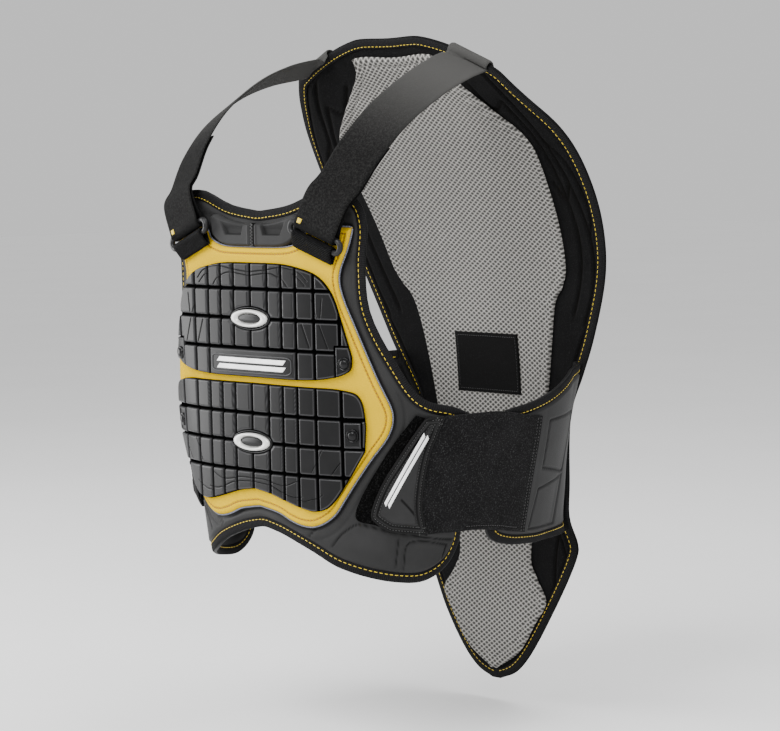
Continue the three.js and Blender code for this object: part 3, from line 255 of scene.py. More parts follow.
SIDE_OUTLINE = {
    "edge_turn": (0.0, 0.06, 0.15, 0.3, 0.46, 0.62, 0.8, 0.9, 1.0),
    "edge_drop": (0.01, -0.005, -0.02, -0.06, -0.12, -0.19, -0.25, -0.27, -0.28),
    "hem_turn": (0.0, 0.02, 0.1, 0.27, 0.46, 0.62, 0.8, 0.9, 1.0),
    "hem_drop": (0.97, 1.06, 1.14, 1.195, 1.22, 1.235, 1.24, 1.24, 1.24),
}
ELASTIC_OUTLINE = {
    "edge_turn": (0.09, 0.31, 0.52, 0.69, 0.82, 0.96),
    "edge_drop": (0.005, 0.0, 0.0, 0.03, 0.065, 0.09),
    "hem_turn": (0.0, 0.24, 0.46, 0.69, 0.88, 1.05),
    "hem_drop": (0.99, 1.0, 1.005, 1.03, 1.07, 1.1),
}
TAB_OUTLINE = {
    "edge_turn": (1.0, 0.91, 0.81, 0.745, 0.73, 0.78, 0.825),
    "edge_drop": (0.0, 0.14, 0.31, 0.55, 0.76, 0.9, 1.0),
    "hem_turn": (0.74, 0.6, 0.38, 0.16, 0.01, 0.06, 0.26),
    "hem_drop": (0.01, 0.13, 0.34, 0.56, 0.79, 0.87, 0.955),
}
PATCH_OUTLINE = {
    "edge_turn": (1.0, 0.79, 0.69, 0.69),
    "edge_drop": (0.02, 0.33, 0.77, 0.95),
    "hem_turn": (0.85, 0.46, 0.0, 0.3),
    "hem_drop": (-0.01, 0.31, 0.8, 0.9),
}
SHOULDER_ROUTE = {
    "along": (0.02, 0.09, 0.2, 0.37, 0.6, 0.8),
    "rise": (0.19, 0.29, 0.48, 0.68, 0.85, 0.945),
    "splay": (0.45, 0.6, 0.8, 0.95, 1.0, 0.85),
}


# Curves and surfaces


def smoothed(table, key, column, at):
    """A column's value between rows, on cubic pieces whose slope at a row is that of its two neighbours."""
    k = np.array(table[key], float)
    c = np.array(table[column], float)
    if k[0] > k[-1]:
        k, c = k[::-1], c[::-1]
    before = np.maximum(np.arange(len(k)) - 1, 0)
    after = np.minimum(np.arange(len(k)) + 1, len(k) - 1)
    slope = (c[after] - c[before]) / (k[after] - k[before])
    x = np.clip(at, k[0], k[-1])
    low = np.clip(np.searchsorted(k, x, side="right") - 1, 0, len(k) - 2)
    span = k[low + 1] - k[low]
    t = (x - k[low]) / span
    start = c[low] * (1 + 2 * t) * (1 - t) ** 2 + slope[low] * span * t * (1 - t) ** 2
    end = c[low + 1] * t * t * (3 - 2 * t) - slope[low + 1] * span * t * t * (1 - t)
    return start + end


def smoothstep(x, low, high):
    """0 below low, 1 above high, and three t squared less two t cubed between them."""
    t = np.clip((x - low) / (high - low), 0, 1)
    return t * t * (3 - 2 * t)


def unit(v):
    """The same ways at length one."""
    return v / np.maximum(np.linalg.norm(v, axis=-1, keepdims=True), 1e-9)


def through(points, steps):
    """Points on a uniform Catmull-Rom curve: each span is a cubic whose end slopes are half its neighbours' span."""
    p = np.asarray(points, float)
    p = np.vstack([2 * p[0] - p[1], p, 2 * p[-1] - p[-2]])
    t = np.linspace(0, 1, steps, endpoint=False)[None, :, None]
    a, b, c, d = p[:-3, None], p[1:-2, None], p[2:-1, None], p[3:, None]
    out = 0.5 * (2 * b + (c - a) * t + (2 * a - 5 * b + 4 * c - d) * t**2 + (3 * b - 3 * c + d - a) * t**3)
    return np.vstack([out.reshape(-1, p.shape[1]), p[-2:-1]])


def down_at(level):
    return (BACK_RISE - np.asarray(level, float)) / BACK_HEIGHT


def level_at(down):
    return BACK_RISE - np.asarray(down, float) * BACK_HEIGHT


def torso(turn, level, out):
    """The torso's barrel: at each level a superellipse of the half breadth and depth, both grown by out."""
    angle = np.radians(turn)
    front = np.cos(angle) > 0
    breadth = smoothed(TORSO, "down", "breadth", down_at(level)) * CHEST_HALF_BREADTH + out
    depth = np.where(front, CHEST_DEPTH, BELT_DEPTH) + out
    power = np.where(front, CHEST_SQUARENESS, BELT_SQUARENESS)
    total = np.abs(np.sin(angle) / breadth) ** power + np.abs(np.cos(angle) / depth) ** power
    reach = total ** (-1 / power)
    x, y = reach * np.sin(angle), AXIS_BEHIND - reach * np.cos(angle)
    return np.stack([x, y, level + 0 * x], -1)


def spine(x, level):
    down = down_at(level)
    curl = EDGE_CURL * smoothed(SPINE, "down", "curl", down) * (x / BACK_HALF_WIDTH) ** 2
    behind = BACK_SWEEP * smoothed(SPINE, "down", "behind", down)
    return np.stack([x + 0 * behind, behind - curl, level + 0 * curl], -1)


def back(x, level, out):
    """The back's inner face, moved out along its normal: the spine's side view, with both edges curled forward."""
    across = spine(x + 1, level) - spine(x - 1, level)
    upward = spine(x, level + 1) - spine(x, level - 1)
    normal = unit(np.cross(upward, across))
    return spine(x, level) + normal * np.asarray(out + 0 * np.asarray(x))[..., None]


def half_at(level):
    return smoothed(BACK_OUTLINE, "down", "half", down_at(level)) * BACK_HALF_WIDTH


def side(share, level, out):
    """The side panel: on the torso's barrel in front, turning onto the back's inner face at its rear."""
    on_torso = torso(SIDE_START + SIDE_TURN * share, level, out - GAP / 2)
    on_back = back(half_at(level) - SIDE_LAP + (1 - share) * SIDE_SPREAD, level, out - GAP)
    blend = smoothstep(share, SIDE_BLEND_FROM, 1)[..., None]
    return on_torso * (1 - blend) + on_back * blend


def slopes(surface, u, v, out):
    step = 0.01
    along_u = (surface(u + step, v, out) - surface(u - step, v, out)) / (2 * step)
    along_v = (surface(u, v + step, out) - surface(u, v - step, out)) / (2 * step)
    outward = surface(u, v, out + 1) - surface(u, v, out)
    normal = unit(np.cross(along_u, along_v))
    normal *= np.sign(np.sum(normal * outward, -1, keepdims=True))
    return along_u, along_v, normal


def way_in(surface, path, out, closed):
    """The way inward along an outline: across its tangent, in the surface, longer at corners."""
    u, v = path[:, 0], path[:, 1]
    points = surface(u, v, out)
    normal = slopes(surface, u, v, out)[2]
    if closed:
        before, after = np.roll(points, 1, 0), np.roll(points, -1, 0)
    else:
        before = np.vstack([2 * points[:1] - points[1:2], points[:-1]])
        after = np.vstack([points[1:], 2 * points[-1:] - points[-2:-1]])
    arriving = unit(np.cross(points - before, normal))
    leaving = unit(np.cross(after - points, normal))
    inward = unit(arriving + leaving)
    inward /= np.maximum(np.sum(inward * arriving, -1, keepdims=True), 0.65)
    if np.sum((points.mean(0) - points) * inward) < 0:
        inward = -inward
    return points, inward, normal


def settle(surface, target, u, v, out):
    """Places on the surface nearest to target, by three rounds of Newton's method."""
    for _ in range(3):
        along_u, along_v, _normal = slopes(surface, u, v, out)
        away = target - surface(u, v, out)
        a, b, c = (np.sum(m * n, -1) for m, n in ((along_u, along_u), (along_u, along_v), (along_v, along_v)))
        p, q = np.sum(away * along_u, -1), np.sum(away * along_v, -1)
        size = a * c - b * b
        u, v = u + (p * c - q * b) / size, v + (q * a - p * b) / size
    return np.stack([u, v], -1)


def inset(surface, path, distance, out=0.0, closed=True):
    """The same outline, moved inward along the surface by a distance."""
    points, inward, _normal = way_in(surface, path, out, closed)
    return settle(surface, points + inward * distance, path[:, 0], path[:, 1], out)


def evened(surface, path, spacing, out=0.0, closed=True, soften=0):
    """Points at even steps along an outline; soften rounds its corners by averaging neighbours that many times."""
    ring = np.vstack([path, path[:1]]) if closed else path
    points = surface(ring[:, 0], ring[:, 1], out)
    along = np.concatenate([[0], np.cumsum(np.linalg.norm(np.diff(points, axis=0), axis=1))])
    count = max(int(round(along[-1] / spacing)), 8)
    at = np.linspace(0, along[-1], count + 1)
    result = np.stack([np.interp(at, along, ring[:, k]) for k in (0, 1)], -1)
    result = result[:-1] if closed else result
    for _ in range(soften):
        if closed:
            result = (np.roll(result, 1, 0) + 2 * result + np.roll(result, -1, 0)) / 4
        else:
            result[1:-1] = (result[:-2] + 2 * result[1:-1] + result[2:]) / 4
    return result


def outline(table, start, span, top, height, steps=12):
    """Edge and hem of a piece on smooth curves through its table, as turn and level."""
    def place(turn, drop):
        curve = through(np.stack([table[turn], table[drop]], -1), steps)
        return np.stack([start + span * curve[:, 0], top - height * curve[:, 1]], -1)
    return place("edge_turn", "edge_drop"), place("hem_turn", "hem_drop")


def both_sides(half):
    return np.vstack([(half * [-1, 1])[:0:-1], half])


def back_half(table, steps=12):
    """Right-hand edge of a back outline from the tail to the top, as x, level and the bow of its row."""
    rows = through(np.stack([table["half"], table["down"], table["bow"]], -1), steps)
    return rows[:, 0] * BACK_HALF_WIDTH, level_at(rows[:, 1]), rows[:, 2] * BACK_HEIGHT


def back_grid(table, columns, clip=1.0, steps=12):
    """Places of a back piece in rows from tail to top; a row's middle stands above its ends by its bow."""
    half, level, bow = back_half(table, steps)
    share = clip * np.sin(np.linspace(-1, 1, columns) * math.pi / 2 * 0.9) / math.sin(math.pi / 2 * 0.9)
    x = half[:, None] * share[None]
    rise = bow[:, None] * (1 - np.abs(share[None]) ** TOP_BOW_POWER)
    order = (np.arange(len(half)) / (len(half) - 1))[:, None] ** 12
    dip = order * NAPE_DIP * np.maximum(0, 1 - (x / NAPE_HALF_WIDTH) ** 2) ** 2
    return np.stack([x, level[:, None] + rise - dip], -1)


def rim_of(grid):
    """Outline of a grid of places: up one side, back over the top and down the other."""
    return np.vstack([grid[:, -1], grid[-1, 1:-1][::-1], grid[::-1, 0]])


# Distances in the flat, for channels and blocks

TURNS = np.linspace(-180, 180, 1441)
ARCS = np.concatenate([[0], np.cumsum(np.linalg.norm(np.diff(torso(TURNS, 0 * TURNS - 230, 0.0), axis=0), axis=1))])
ARCS = ARCS - ARCS[720]


def arc(turn):
    """Millimetres round the torso from straight ahead, at the middle of the chest."""
    return np.interp(turn, TURNS, ARCS)


def flat(place):
    """Turn and level as millimetres across and up."""
    return np.stack([arc(place[..., 0]), place[..., 1]], -1)


def distance(points, line, closed=False):
    """Least distance from each point to a polyline in the flat."""
    line = np.asarray(line, float)
    a = line if closed else line[:-1]
    b = np.roll(line, -1, 0) if closed else line[1:]
    shape = points.shape[:-1]
    p = points.reshape(-1, 2)
    best = np.full(len(p), 1e9)
    ab = b - a
    size = np.maximum((ab**2).sum(-1), 1e-9)
    for start in range(0, len(p), 8000):
        q = p[start:start + 8000, None]
        t = np.clip(((q - a) * ab).sum(-1) / size, 0, 1)
        gap = q - (a + t[..., None] * ab)
        best[start:start + 8000] = np.sqrt((gap**2).sum(-1).min(1))
    return best.reshape(shape)


def groove(away, width, depth):
    """A channel's profile: deepest on its line and level at its width to each side."""
    return -depth * (1 - smoothstep(away, 0, width))


def drawn(place, *lines, width=0.8, depth=0.45, mirrored=True):
    """Thin incised curves through places given as turn and level: depth of the cut at each place."""
    cut = np.zeros(place.shape[:-1])
    at = np.stack([np.abs(place[..., 0]), place[..., 1]], -1) if mirrored else place
    for line in lines:
        cut = np.maximum(cut, -groove(distance(at, flat(through(np.array(line), 8))), width, depth))
    return cut


# Meshes


def add_piece(name, points, faces, uv=None, smooth=True, metres=0.001):
    """A mesh from points in millimetres and faces of equal corner count, turned outward."""
    points = np.asarray(points, float).reshape(-1, 3)
    faces = np.asarray(faces, np.int64)
    a, b, c = points[faces[:, 0]], points[faces[:, 1]], points[faces[:, 2]]
    volume = np.sum(a * np.cross(b, c))
    if faces.shape[1] == 4:
        volume += np.sum(a * np.cross(c, points[faces[:, 3]]))
    if volume < 0:
        faces = faces[:, ::-1]
    mesh = bpy.data.meshes.new(name)
    corners = faces.shape[1]
    mesh.vertices.add(len(points))
    mesh.vertices.foreach_set("co", (points * metres).astype(np.float32).ravel())
    mesh.loops.add(faces.size)
    mesh.loops.foreach_set("vertex_index", faces.astype(np.int32).ravel())
    mesh.polygons.add(len(faces))
    mesh.polygons.foreach_set("loop_start", np.arange(0, faces.size, corners, dtype=np.int32))
    mesh.polygons.foreach_set("use_smooth", np.full(len(faces), smooth))
    mesh.update(calc_edges=True)
    if uv is not None:
        layer = mesh.uv_layers.new(name="flat")
        layer.data.foreach_set("uv", (np.asarray(uv)[faces.ravel()] * metres).astype(np.float32).ravel())
    mesh.validate()
    obj = bpy.data.objects.new(name, mesh)
    bpy.context.scene.collection.objects.link(obj)
    return obj


def slab_faces(rows, columns, step):
    """Triangles of a closed body: a fine grid on top, every step-th row and column below, and a wall between."""
    def cells(r, c):
        i, j = np.meshgrid(np.arange(r - 1), np.arange(c - 1), indexing="ij")
        quads = np.stack([i * c + j, (i + 1) * c + j, (i + 1) * c + j + 1, i * c + j + 1], -1).reshape(-1, 4)
        return np.vstack([quads[:, [0, 1, 2]], quads[:, [0, 2, 3]]])

    def loop(r, c):
        a, b = np.arange(c), np.arange(r) * c
        return np.concatenate([a, b[1:] + c - 1, a[::-1][1:] + (r - 1) * c, b[::-1][1:-1]])

    low_rows, low_columns = (rows - 1) // step + 1, (columns - 1) // step + 1
    base = rows * columns
    rim, foot = loop(rows, columns), loop(low_rows, low_columns) + base
    nearest = foot[((np.arange(len(rim)) + step // 2) // step) % len(foot)]
    wall = np.stack([rim, np.roll(rim, -1), nearest], -1)
    apex = rim[(np.arange(len(foot)) * step + (step + 1) // 2) % len(rim)]
    joint = np.stack([apex, np.roll(foot, -1), foot], -1)
    return np.vstack([cells(rows, columns), cells(low_rows, low_columns)[:, ::-1] + base, wall, joint])


def slab(name, outer, inner, uv, mirror=False, step=1):
    """Closed body between two grids of the same size, the inner one thinned out by step."""
    rows, columns = outer.shape[:2]
    points = np.vstack([outer.reshape(-1, 3), inner[::step, ::step].reshape(-1, 3)])
    flat_uv = np.vstack([uv.reshape(-1, 2), uv[::step, ::step].reshape(-1, 2)])
    if mirror:
        points = points * [-1, 1, 1]
    return add_piece(name, points, slab_faces(rows, columns, step), flat_uv)


def paint(obj, name, values, inner=0.0):
    """A number at each point, for the piece's material; points past the given ones get the inner number."""
    full = np.full(len(obj.data.vertices), inner, np.float32)
    values = np.asarray(values, np.float32).ravel()
    full[:len(values)] = values
    obj.data.attributes.new(name, "FLOAT", "POINT").data.foreach_set("value", full)


def carried(name, rings, uv, closed, mirror=False):
    """A closed profile carried along a path: rings hold path, profile and point."""
    count, sides = rings.shape[:2]
    points = rings.reshape(-1, 3)
    i, j = np.meshgrid(np.arange(count if closed else count - 1), np.arange(sides), indexing="ij")
    n, k = (i + 1) % count, (j + 1) % sides
    faces = np.stack([i * sides + j, n * sides + j, n * sides + k, i * sides + k], -1).reshape(-1, 4)
    flat_uv = uv.reshape(-1, 2)
    if not closed:
        ends = np.stack([rings[0].mean(0), rings[-1].mean(0)])
        base = len(points)
        points = np.vstack([points, ends])
        flat_uv = np.vstack([flat_uv, uv[0].mean(0), uv[-1].mean(0)])
        a = np.arange(sides)
        b = (a + 1) % sides
        last = (count - 1) * sides
        start = np.stack([a, b, np.full(sides, base), np.full(sides, base)], -1)
        end = np.stack([last + b, last + a, np.full(sides, base + 1), np.full(sides, base + 1)], -1)
        caps = np.vstack([start, end])[:, :3]
        quads = np.vstack([faces[:, [0, 1, 2]], faces[:, [0, 2, 3]]])
        faces = np.vstack([quads, caps])
    if mirror:
        points = points * [-1, 1, 1]
    return add_piece(name, points, faces, flat_uv)


def along(points, closed=False):
    """Distance along a path at each of its points."""
    steps = np.linalg.norm(np.diff(points, axis=0), axis=1)
    return np.concatenate([[0], np.cumsum(steps)])


def grid_between(hem, edge, columns, rows, ends=0.9, sides=0.9):
    """Places on straight lines from the hem to the edge, closer together near the rims; 0.9 crowds them, 0 not."""
    def crowded(count, share):
        even = np.linspace(-1, 1, count)
        return 0.5 + 0.5 * (np.sin(even * math.pi / 2 * share) / math.sin(math.pi / 2 * share) if share else even)
    at = crowded(columns, ends) * (len(hem) - 1)
    index = np.arange(len(hem))
    low = np.stack([np.interp(at, index, hem[:, k]) for k in (0, 1)], -1)
    high = np.stack([np.interp(at, index, edge[:, k]) for k in (0, 1)], -1)
    t = crowded(rows, sides)[:, None, None]
    return low[None] * (1 - t) + high[None] * t


def loop_of(hem, edge):
    return np.vstack([hem, edge[::-1]])


def stitches(name, paths, length, gap, width, lift=0.35, mirror=False):
    """Thread stitches: flattened spindles of that length along each path of points with normals."""
    parts, faces = [], []
    around = np.linspace(0, 2 * math.pi, 6, endpoint=False)
    stations = np.array([[-0.5, 0.25], [-0.38, 0.85], [0.0, 1.0], [0.38, 0.85], [0.5, 0.25]])
    base = 0
    for points, normals in paths:
        run = along(points)
        at = np.arange(gap, run[-1] - length - gap, length + gap) + length / 2
        if len(at) == 0:
            continue
        def pick(values, where):
            return np.stack([np.interp(where, run, values[:, k]) for k in range(3)], -1)
        centre, normal = pick(points, at), unit(pick(normals, at))
        ahead = pick(points, at + length / 2) - pick(points, at - length / 2)
        tangent = unit(ahead - normal * np.sum(ahead * normal, -1, keepdims=True))
        across = np.cross(normal, tangent)
        body = centre[:, None, None] + tangent[:, None, None] * (stations[:, 0] * length)[None, :, None, None]
        swell = stations[:, 1][None, :, None, None] * width / 2
        body = body + swell * (across[:, None, None] * np.cos(around)[None, None, :, None]
                               + normal[:, None, None] * (0.7 * np.sin(around) + lift)[None, None, :, None])
        count = len(at)
        index = base + np.arange(count * 30).reshape(count, 5, 6)
        k = np.roll(np.arange(6), -1)
        quads = np.stack([index[:, :-1], index[:, 1:], index[:, 1:][:, :, k], index[:, :-1][:, :, k]], -1)
        faces.append(quads.reshape(-1, 4))
        for end, order in ((0, 1), (4, -1)):
            ring = index[:, end][:, ::order]
            faces.append(ring[:, [0, 1, 2, 3]])
            faces.append(ring[:, [0, 3, 4, 5]])
        parts.append(body.reshape(-1, 3))
        base += count * 30
    points = np.vstack(parts)
    if mirror:
        points = points * [-1, 1, 1]
    return add_piece(name, points, np.vstack(faces), np.zeros((len(points), 2)))


def on_surface(surface, path, out, closed=True):
    """Points and normals of a path on a surface, its first point again at the end where it is closed."""
    ring = np.vstack([path, path[:1]]) if closed else path
    points = surface(ring[:, 0], ring[:, 1], out)
    return points, slopes(surface, ring[:, 0], ring[:, 1], out)[2]


BINDING_PROFILE = (
    (9.0, 2.0), (8.4, 2.65), (7.0, 2.7), (4.0, 2.75), (2.0, 2.6), (0.8, 2.1), (0.1, 1.2), (0.0, 0.0),
    (0.1, -1.2), (0.8, -2.1), (2.0, -2.6), (4.0, -2.75), (7.0, -2.7), (8.4, -2.65), (9.0, -2.0),
)


def binding(name, surface, path, out, closed=True, mirror=False):
    """Folded tape: a U-shaped profile carried along an outline, its legs laid along the surface."""
    rings = []
    for across, up in BINDING_PROFILE:
        moved = inset(surface, path, across, out, closed) if across > 0.05 else path
        rings.append(surface(moved[:, 0], moved[:, 1], out + up))
    rings = np.stack(rings, 1)
    profile = np.array(BINDING_PROFILE)
    girth = along(profile)
    run = along(rings[:, 7])
    uv = np.stack([run[:, None] + 0 * girth[None], 0 * run[:, None] + girth[None]], -1)
    return carried(name, rings, uv, closed, mirror)


# Materials


def new_material(name):
    made = bpy.data.materials.new(name)
    made.use_nodes = True
    tree = made.node_tree
    shader = tree.nodes["Principled BSDF"]
    return made, tree, shader


def math_node(tree, operation, a, b=None, c=None, clamp=False):
    node = tree.nodes.new("ShaderNodeMath")
    node.operation = operation
    node.use_clamp = clamp
    for socket, value in zip(node.inputs, (a, b, c)):
        if value is None:
            continue
        if isinstance(value, (int, float)):
            socket.default_value = value
        else:
            tree.links.new(value, socket)
    return node.outputs[0]


def ramp(tree, value, low, high, from_value=0.0, to_value=1.0):
    node = tree.nodes.new("ShaderNodeMapRange")
    node.interpolation_type = "SMOOTHSTEP"
    tree.links.new(value, node.inputs["Value"])
    for name, number in (("From Min", low), ("From Max", high), ("To Min", from_value), ("To Max", to_value)):
        node.inputs[name].default_value = number
    return node.outputs["Result"]


def mix_colour(tree, factor, a, b):
    node = tree.nodes.new("ShaderNodeMix")
    node.data_type = "RGBA"
    if isinstance(factor, float):
        node.inputs["Factor"].default_value = factor
    else:
        tree.links.new(factor, node.inputs["Factor"])
    for socket, value in ((node.inputs[6], a), (node.inputs[7], b)):
        if isinstance(value, tuple):
            socket.default_value = (*value, 1)
        else:
            tree.links.new(value, socket)
    return node.outputs[2]


def coordinates(tree, kind="Object"):
    return tree.nodes.new("ShaderNodeTexCoord").outputs[kind]


def split(tree, vector):
    node = tree.nodes.new("ShaderNodeSeparateXYZ")
    tree.links.new(vector, node.inputs[0])
    return node.outputs[0], node.outputs[1], node.outputs[2]


def noise(tree, scale, detail=3.0, roughness=0.55, vector=None):
    node = tree.nodes.new("ShaderNodeTexNoise")
    node.inputs["Scale"].default_value = scale
    node.inputs["Detail"].default_value = detail
    node.inputs["Roughness"].default_value = roughness
    tree.links.new(vector if vector is not None else coordinates(tree), node.inputs["Vector"])
    return node.outputs["Fac"]


def bump(tree, shader, height, depth, strength=1.0, normal=None):
    node = tree.nodes.new("ShaderNodeBump")
    node.inputs["Strength"].default_value = strength
    node.inputs["Distance"].default_value = depth
    tree.links.new(height, node.inputs["Height"])
    if normal is not None:
        tree.links.new(normal, node.inputs["Normal"])
    tree.links.new(node.outputs[0], shader.inputs["Normal"])
    return node.outputs[0]


def new_shade(tree, name):
    """A piece's painted number."""
    node = tree.nodes.new("ShaderNodeAttribute")
    node.attribute_name = name
    return node.outputs["Fac"]


def foam_material(name, colour, rough=0.5):
    """Moulded foam skin: fine grain, slight mottling, and painted shade in its creases, channels and recesses and over
    its inside face.
    """
    made, tree, shader = new_material(name)
    shade = ramp(tree, noise(tree, 22.0, 4.0), 0.35, 0.7)
    dark = tuple(c * 0.88 for c in colour)
    light = tuple(c * 1.12 for c in colour)
    skin = mix_colour(tree, shade, dark, light)
    # Painted shade: the piece's painted number darkens the skin to an eighth of its colour where shade falls.
    shaded_skin = mix_colour(tree, new_shade(tree, "painted_shade"), skin, tuple(c * 0.12 for c in colour))
    tree.links.new(shaded_skin, shader.inputs["Base Color"])
    shader.inputs["Roughness"].default_value = rough
    shader.inputs["Specular IOR Level"].default_value = 0.06
    grain = noise(tree, 1500.0, 2.0, 0.6)
    bump(tree, shader, grain, 0.0002, 0.35)
    return made


def cloth_material(name, colour, pitch, depth=0.0002, mottle=0.25, sheen=0.0, fleck=0.0, rough=0.9, shine=0.1):
    """Woven cloth: warp and weft as crossed waves on the piece's own flat, with fine flecks, darkened by painted shade
    in its creases.
    """
    made, tree, shader = new_material(name)
    u, v, _ = split(tree, coordinates(tree, "UV"))
    rate = 2 * math.pi / pitch
    warp = math_node(tree, "SINE", math_node(tree, "MULTIPLY", u, rate))
    weft = math_node(tree, "SINE", math_node(tree, "MULTIPLY", v, rate))
    weave = math_node(tree, "MULTIPLY", warp, weft)
    height = ramp(tree, weave, -1.0, 1.0)
    spots = noise(tree, 800.0, 2.0, 0.7)
    broad = noise(tree, 35.0, 3.0)
    dark = tuple(c * (1 - mottle) for c in colour)
    light = tuple(min(c * (1 + mottle) + fleck, 1.0) for c in colour)
    first = mix_colour(tree, ramp(tree, broad, 0.3, 0.7), dark, colour)
    second = mix_colour(tree, ramp(tree, spots, 0.5, 0.75), first, light)
    # Painted shade: a darker, warmer copy of the colour, mixed in by the piece's painted number in quilting lines,
    # seams and furrows.
    deep = tuple(c * 0.3 * k for c, k in zip(colour, (1.0, 0.8, 0.5)))
    tree.links.new(mix_colour(tree, new_shade(tree, "painted_shade"), second, deep), shader.inputs["Base Color"])
    shader.inputs["Roughness"].default_value = rough
    shader.inputs["Sheen Weight"].default_value = sheen
    shader.inputs["Specular IOR Level"].default_value = shine
    mixed = math_node(tree, "ADD", height, math_node(tree, "MULTIPLY", spots, 0.8))
    bump(tree, shader, mixed, depth, 0.7)
    return made


def mesh_material(name, thread, hole, across, up):
    """Spacer mesh: light threads cross where two cosine waves cancel; between them the cells fall off to a hole of
    painted shade, darkest in its middle.
    """
    made, tree, shader = new_material(name)
    u, v, _ = split(tree, coordinates(tree, "UV"))
    wander = math_node(tree, "MULTIPLY", math_node(tree, "SUBTRACT", noise(tree, 60.0, 1.0), 0.5), 0.6)
    a = math_node(tree, "COSINE", math_node(tree, "ADD", math_node(tree, "MULTIPLY", u, 2 * math.pi / across), wander))
    b = math_node(tree, "COSINE", math_node(tree, "MULTIPLY", v, 2 * math.pi / up))
    cell = math_node(tree, "MULTIPLY", math_node(tree, "ABSOLUTE", math_node(tree, "ADD", a, b)), 0.5)
    holes = ramp(tree, cell, 0.06, 0.36)
    threads = noise(tree, 900.0, 2.0, 0.7)
    bright = mix_colour(tree, ramp(tree, threads, 0.35, 0.7), tuple(c * 0.72 for c in thread), thread)
    # Painted shade: the hole colour stands for the dark depth under the threads, and each hole's middle is darkened
    # further.
    netted = mix_colour(tree, holes, bright, hole)
    deep_hole_shade = ramp(tree, cell, 0.5, 0.85)
    tree.links.new(mix_colour(tree, deep_hole_shade, netted, tuple(c * 0.25 for c in hole)), shader.inputs["Base Color"])
    shader.inputs["Roughness"].default_value = 0.85
    shader.inputs["Specular IOR Level"].default_value = 0.15
    height = math_node(tree, "SUBTRACT", math_node(tree, "MULTIPLY", threads, 0.15), holes)
    bump(tree, shader, height, 0.0008, 0.8)
    return made


def ribbed_material(name, colour, pitch, depth=0.0003):
    """Grosgrain tape: ribs across its length, with a little fleck."""
    made, tree, shader = new_material(name)
    u, v, _ = split(tree, coordinates(tree, "UV"))
    ribs = math_node(tree, "SINE", math_node(tree, "MULTIPLY", u, 2 * math.pi / pitch))
    height = ramp(tree, ribs, -0.9, 0.9)
    spots = noise(tree, 1300.0, 2.0, 0.7)
    dark = tuple(c * 0.55 for c in colour)
    light = tuple(c * 1.6 for c in colour)
    shade = math_node(tree, "MULTIPLY", height, ramp(tree, spots, 0.3, 0.75))
    tree.links.new(mix_colour(tree, shade, dark, light), shader.inputs["Base Color"])
    shader.inputs["Roughness"].default_value = 0.85
    shader.inputs["Specular IOR Level"].default_value = 0.08
    bump(tree, shader, height, depth, 0.8)
    return made


def twill_material(name, dark, light, pitch, depth=0.00025, slant=1.0, share=0.5, sheen=0.0):
    """Twill webbing: diagonal ribs on the strap's own flat, heathered by dark and light yarns, with painted light over
    the shoulder and painted shade on the layer folded under.
    """
    made, tree, shader = new_material(name)
    u, v, _ = split(tree, coordinates(tree, "UV"))
    rate = 2 * math.pi / pitch
    lean = math_node(tree, "ADD", math_node(tree, "MULTIPLY", u, rate), math_node(tree, "MULTIPLY", v, rate * slant))
    ribs = ramp(tree, math_node(tree, "SINE", lean), -0.8, 0.8)
    cross = math_node(tree, "SUBTRACT", math_node(tree, "MULTIPLY", u, rate), math_node(tree, "MULTIPLY", v, rate))
    picks = ramp(tree, math_node(tree, "SINE", cross), -0.9, 0.9)
    yarns = noise(tree, 620.0, 3.0, 0.75)
    shade = math_node(tree, "MULTIPLY", ribs, math_node(tree, "ADD", math_node(tree, "MULTIPLY", picks, 0.45), 0.55))
    fleck = math_node(tree, "MULTIPLY", shade, ramp(tree, yarns, share - 0.1, share + 0.14))
    cloth = mix_colour(tree, fleck, dark, light)
    # Painted light: the strap's painted number lightens the webbing where light falls on it over the shoulder.
    lit = mix_colour(tree, new_shade(tree, "painted_light"), cloth, tuple(c * 2.2 for c in light))
    # Painted shade: near black on the layer folded under the strap.
    tree.links.new(mix_colour(tree, new_shade(tree, "painted_shade"), lit, (0.002, 0.002, 0.002)),
                   shader.inputs["Base Color"])
    shader.inputs["Roughness"].default_value = 0.8
    shader.inputs["Sheen Weight"].default_value = sheen
    shader.inputs["Specular IOR Level"].default_value = 0.07
    bump(tree, shader, shade, depth, 0.8)
    return made


def block_material(name, colour):
    """Moulded blocks: semi-gloss tops, dull grooves darkened black with painted shade, and a painted highlight line
    along each block's edge.
    """
    made, tree, shader = new_material(name)
    patches = noise(tree, 30.0, 4.0)
    deep, edge = new_shade(tree, "painted_shade"), new_shade(tree, "edge")
    top = mix_colour(tree, ramp(tree, patches, 0.4, 0.75), colour, tuple(c * 1.4 for c in colour))
    # Painted highlight: the piece's edge number lightens a thin line round each block to light grey.
    highlighted = mix_colour(tree, edge, top, (0.08, 0.08, 0.083))
    # Painted shade: near black where the piece's painted number marks grooves, cuts and the plate's rim.
    tree.links.new(mix_colour(tree, deep, highlighted, (0.001, 0.001, 0.001)), shader.inputs["Base Color"])
    tree.links.new(ramp(tree, deep, 0.0, 1.0, 0.3, 0.8), shader.inputs["Roughness"])
    tree.links.new(ramp(tree, deep, 0.0, 1.0, 0.13, 0.0), shader.inputs["Specular IOR Level"])
    bump(tree, shader, noise(tree, 900.0, 2.0), 0.0001, 0.05)
    return made


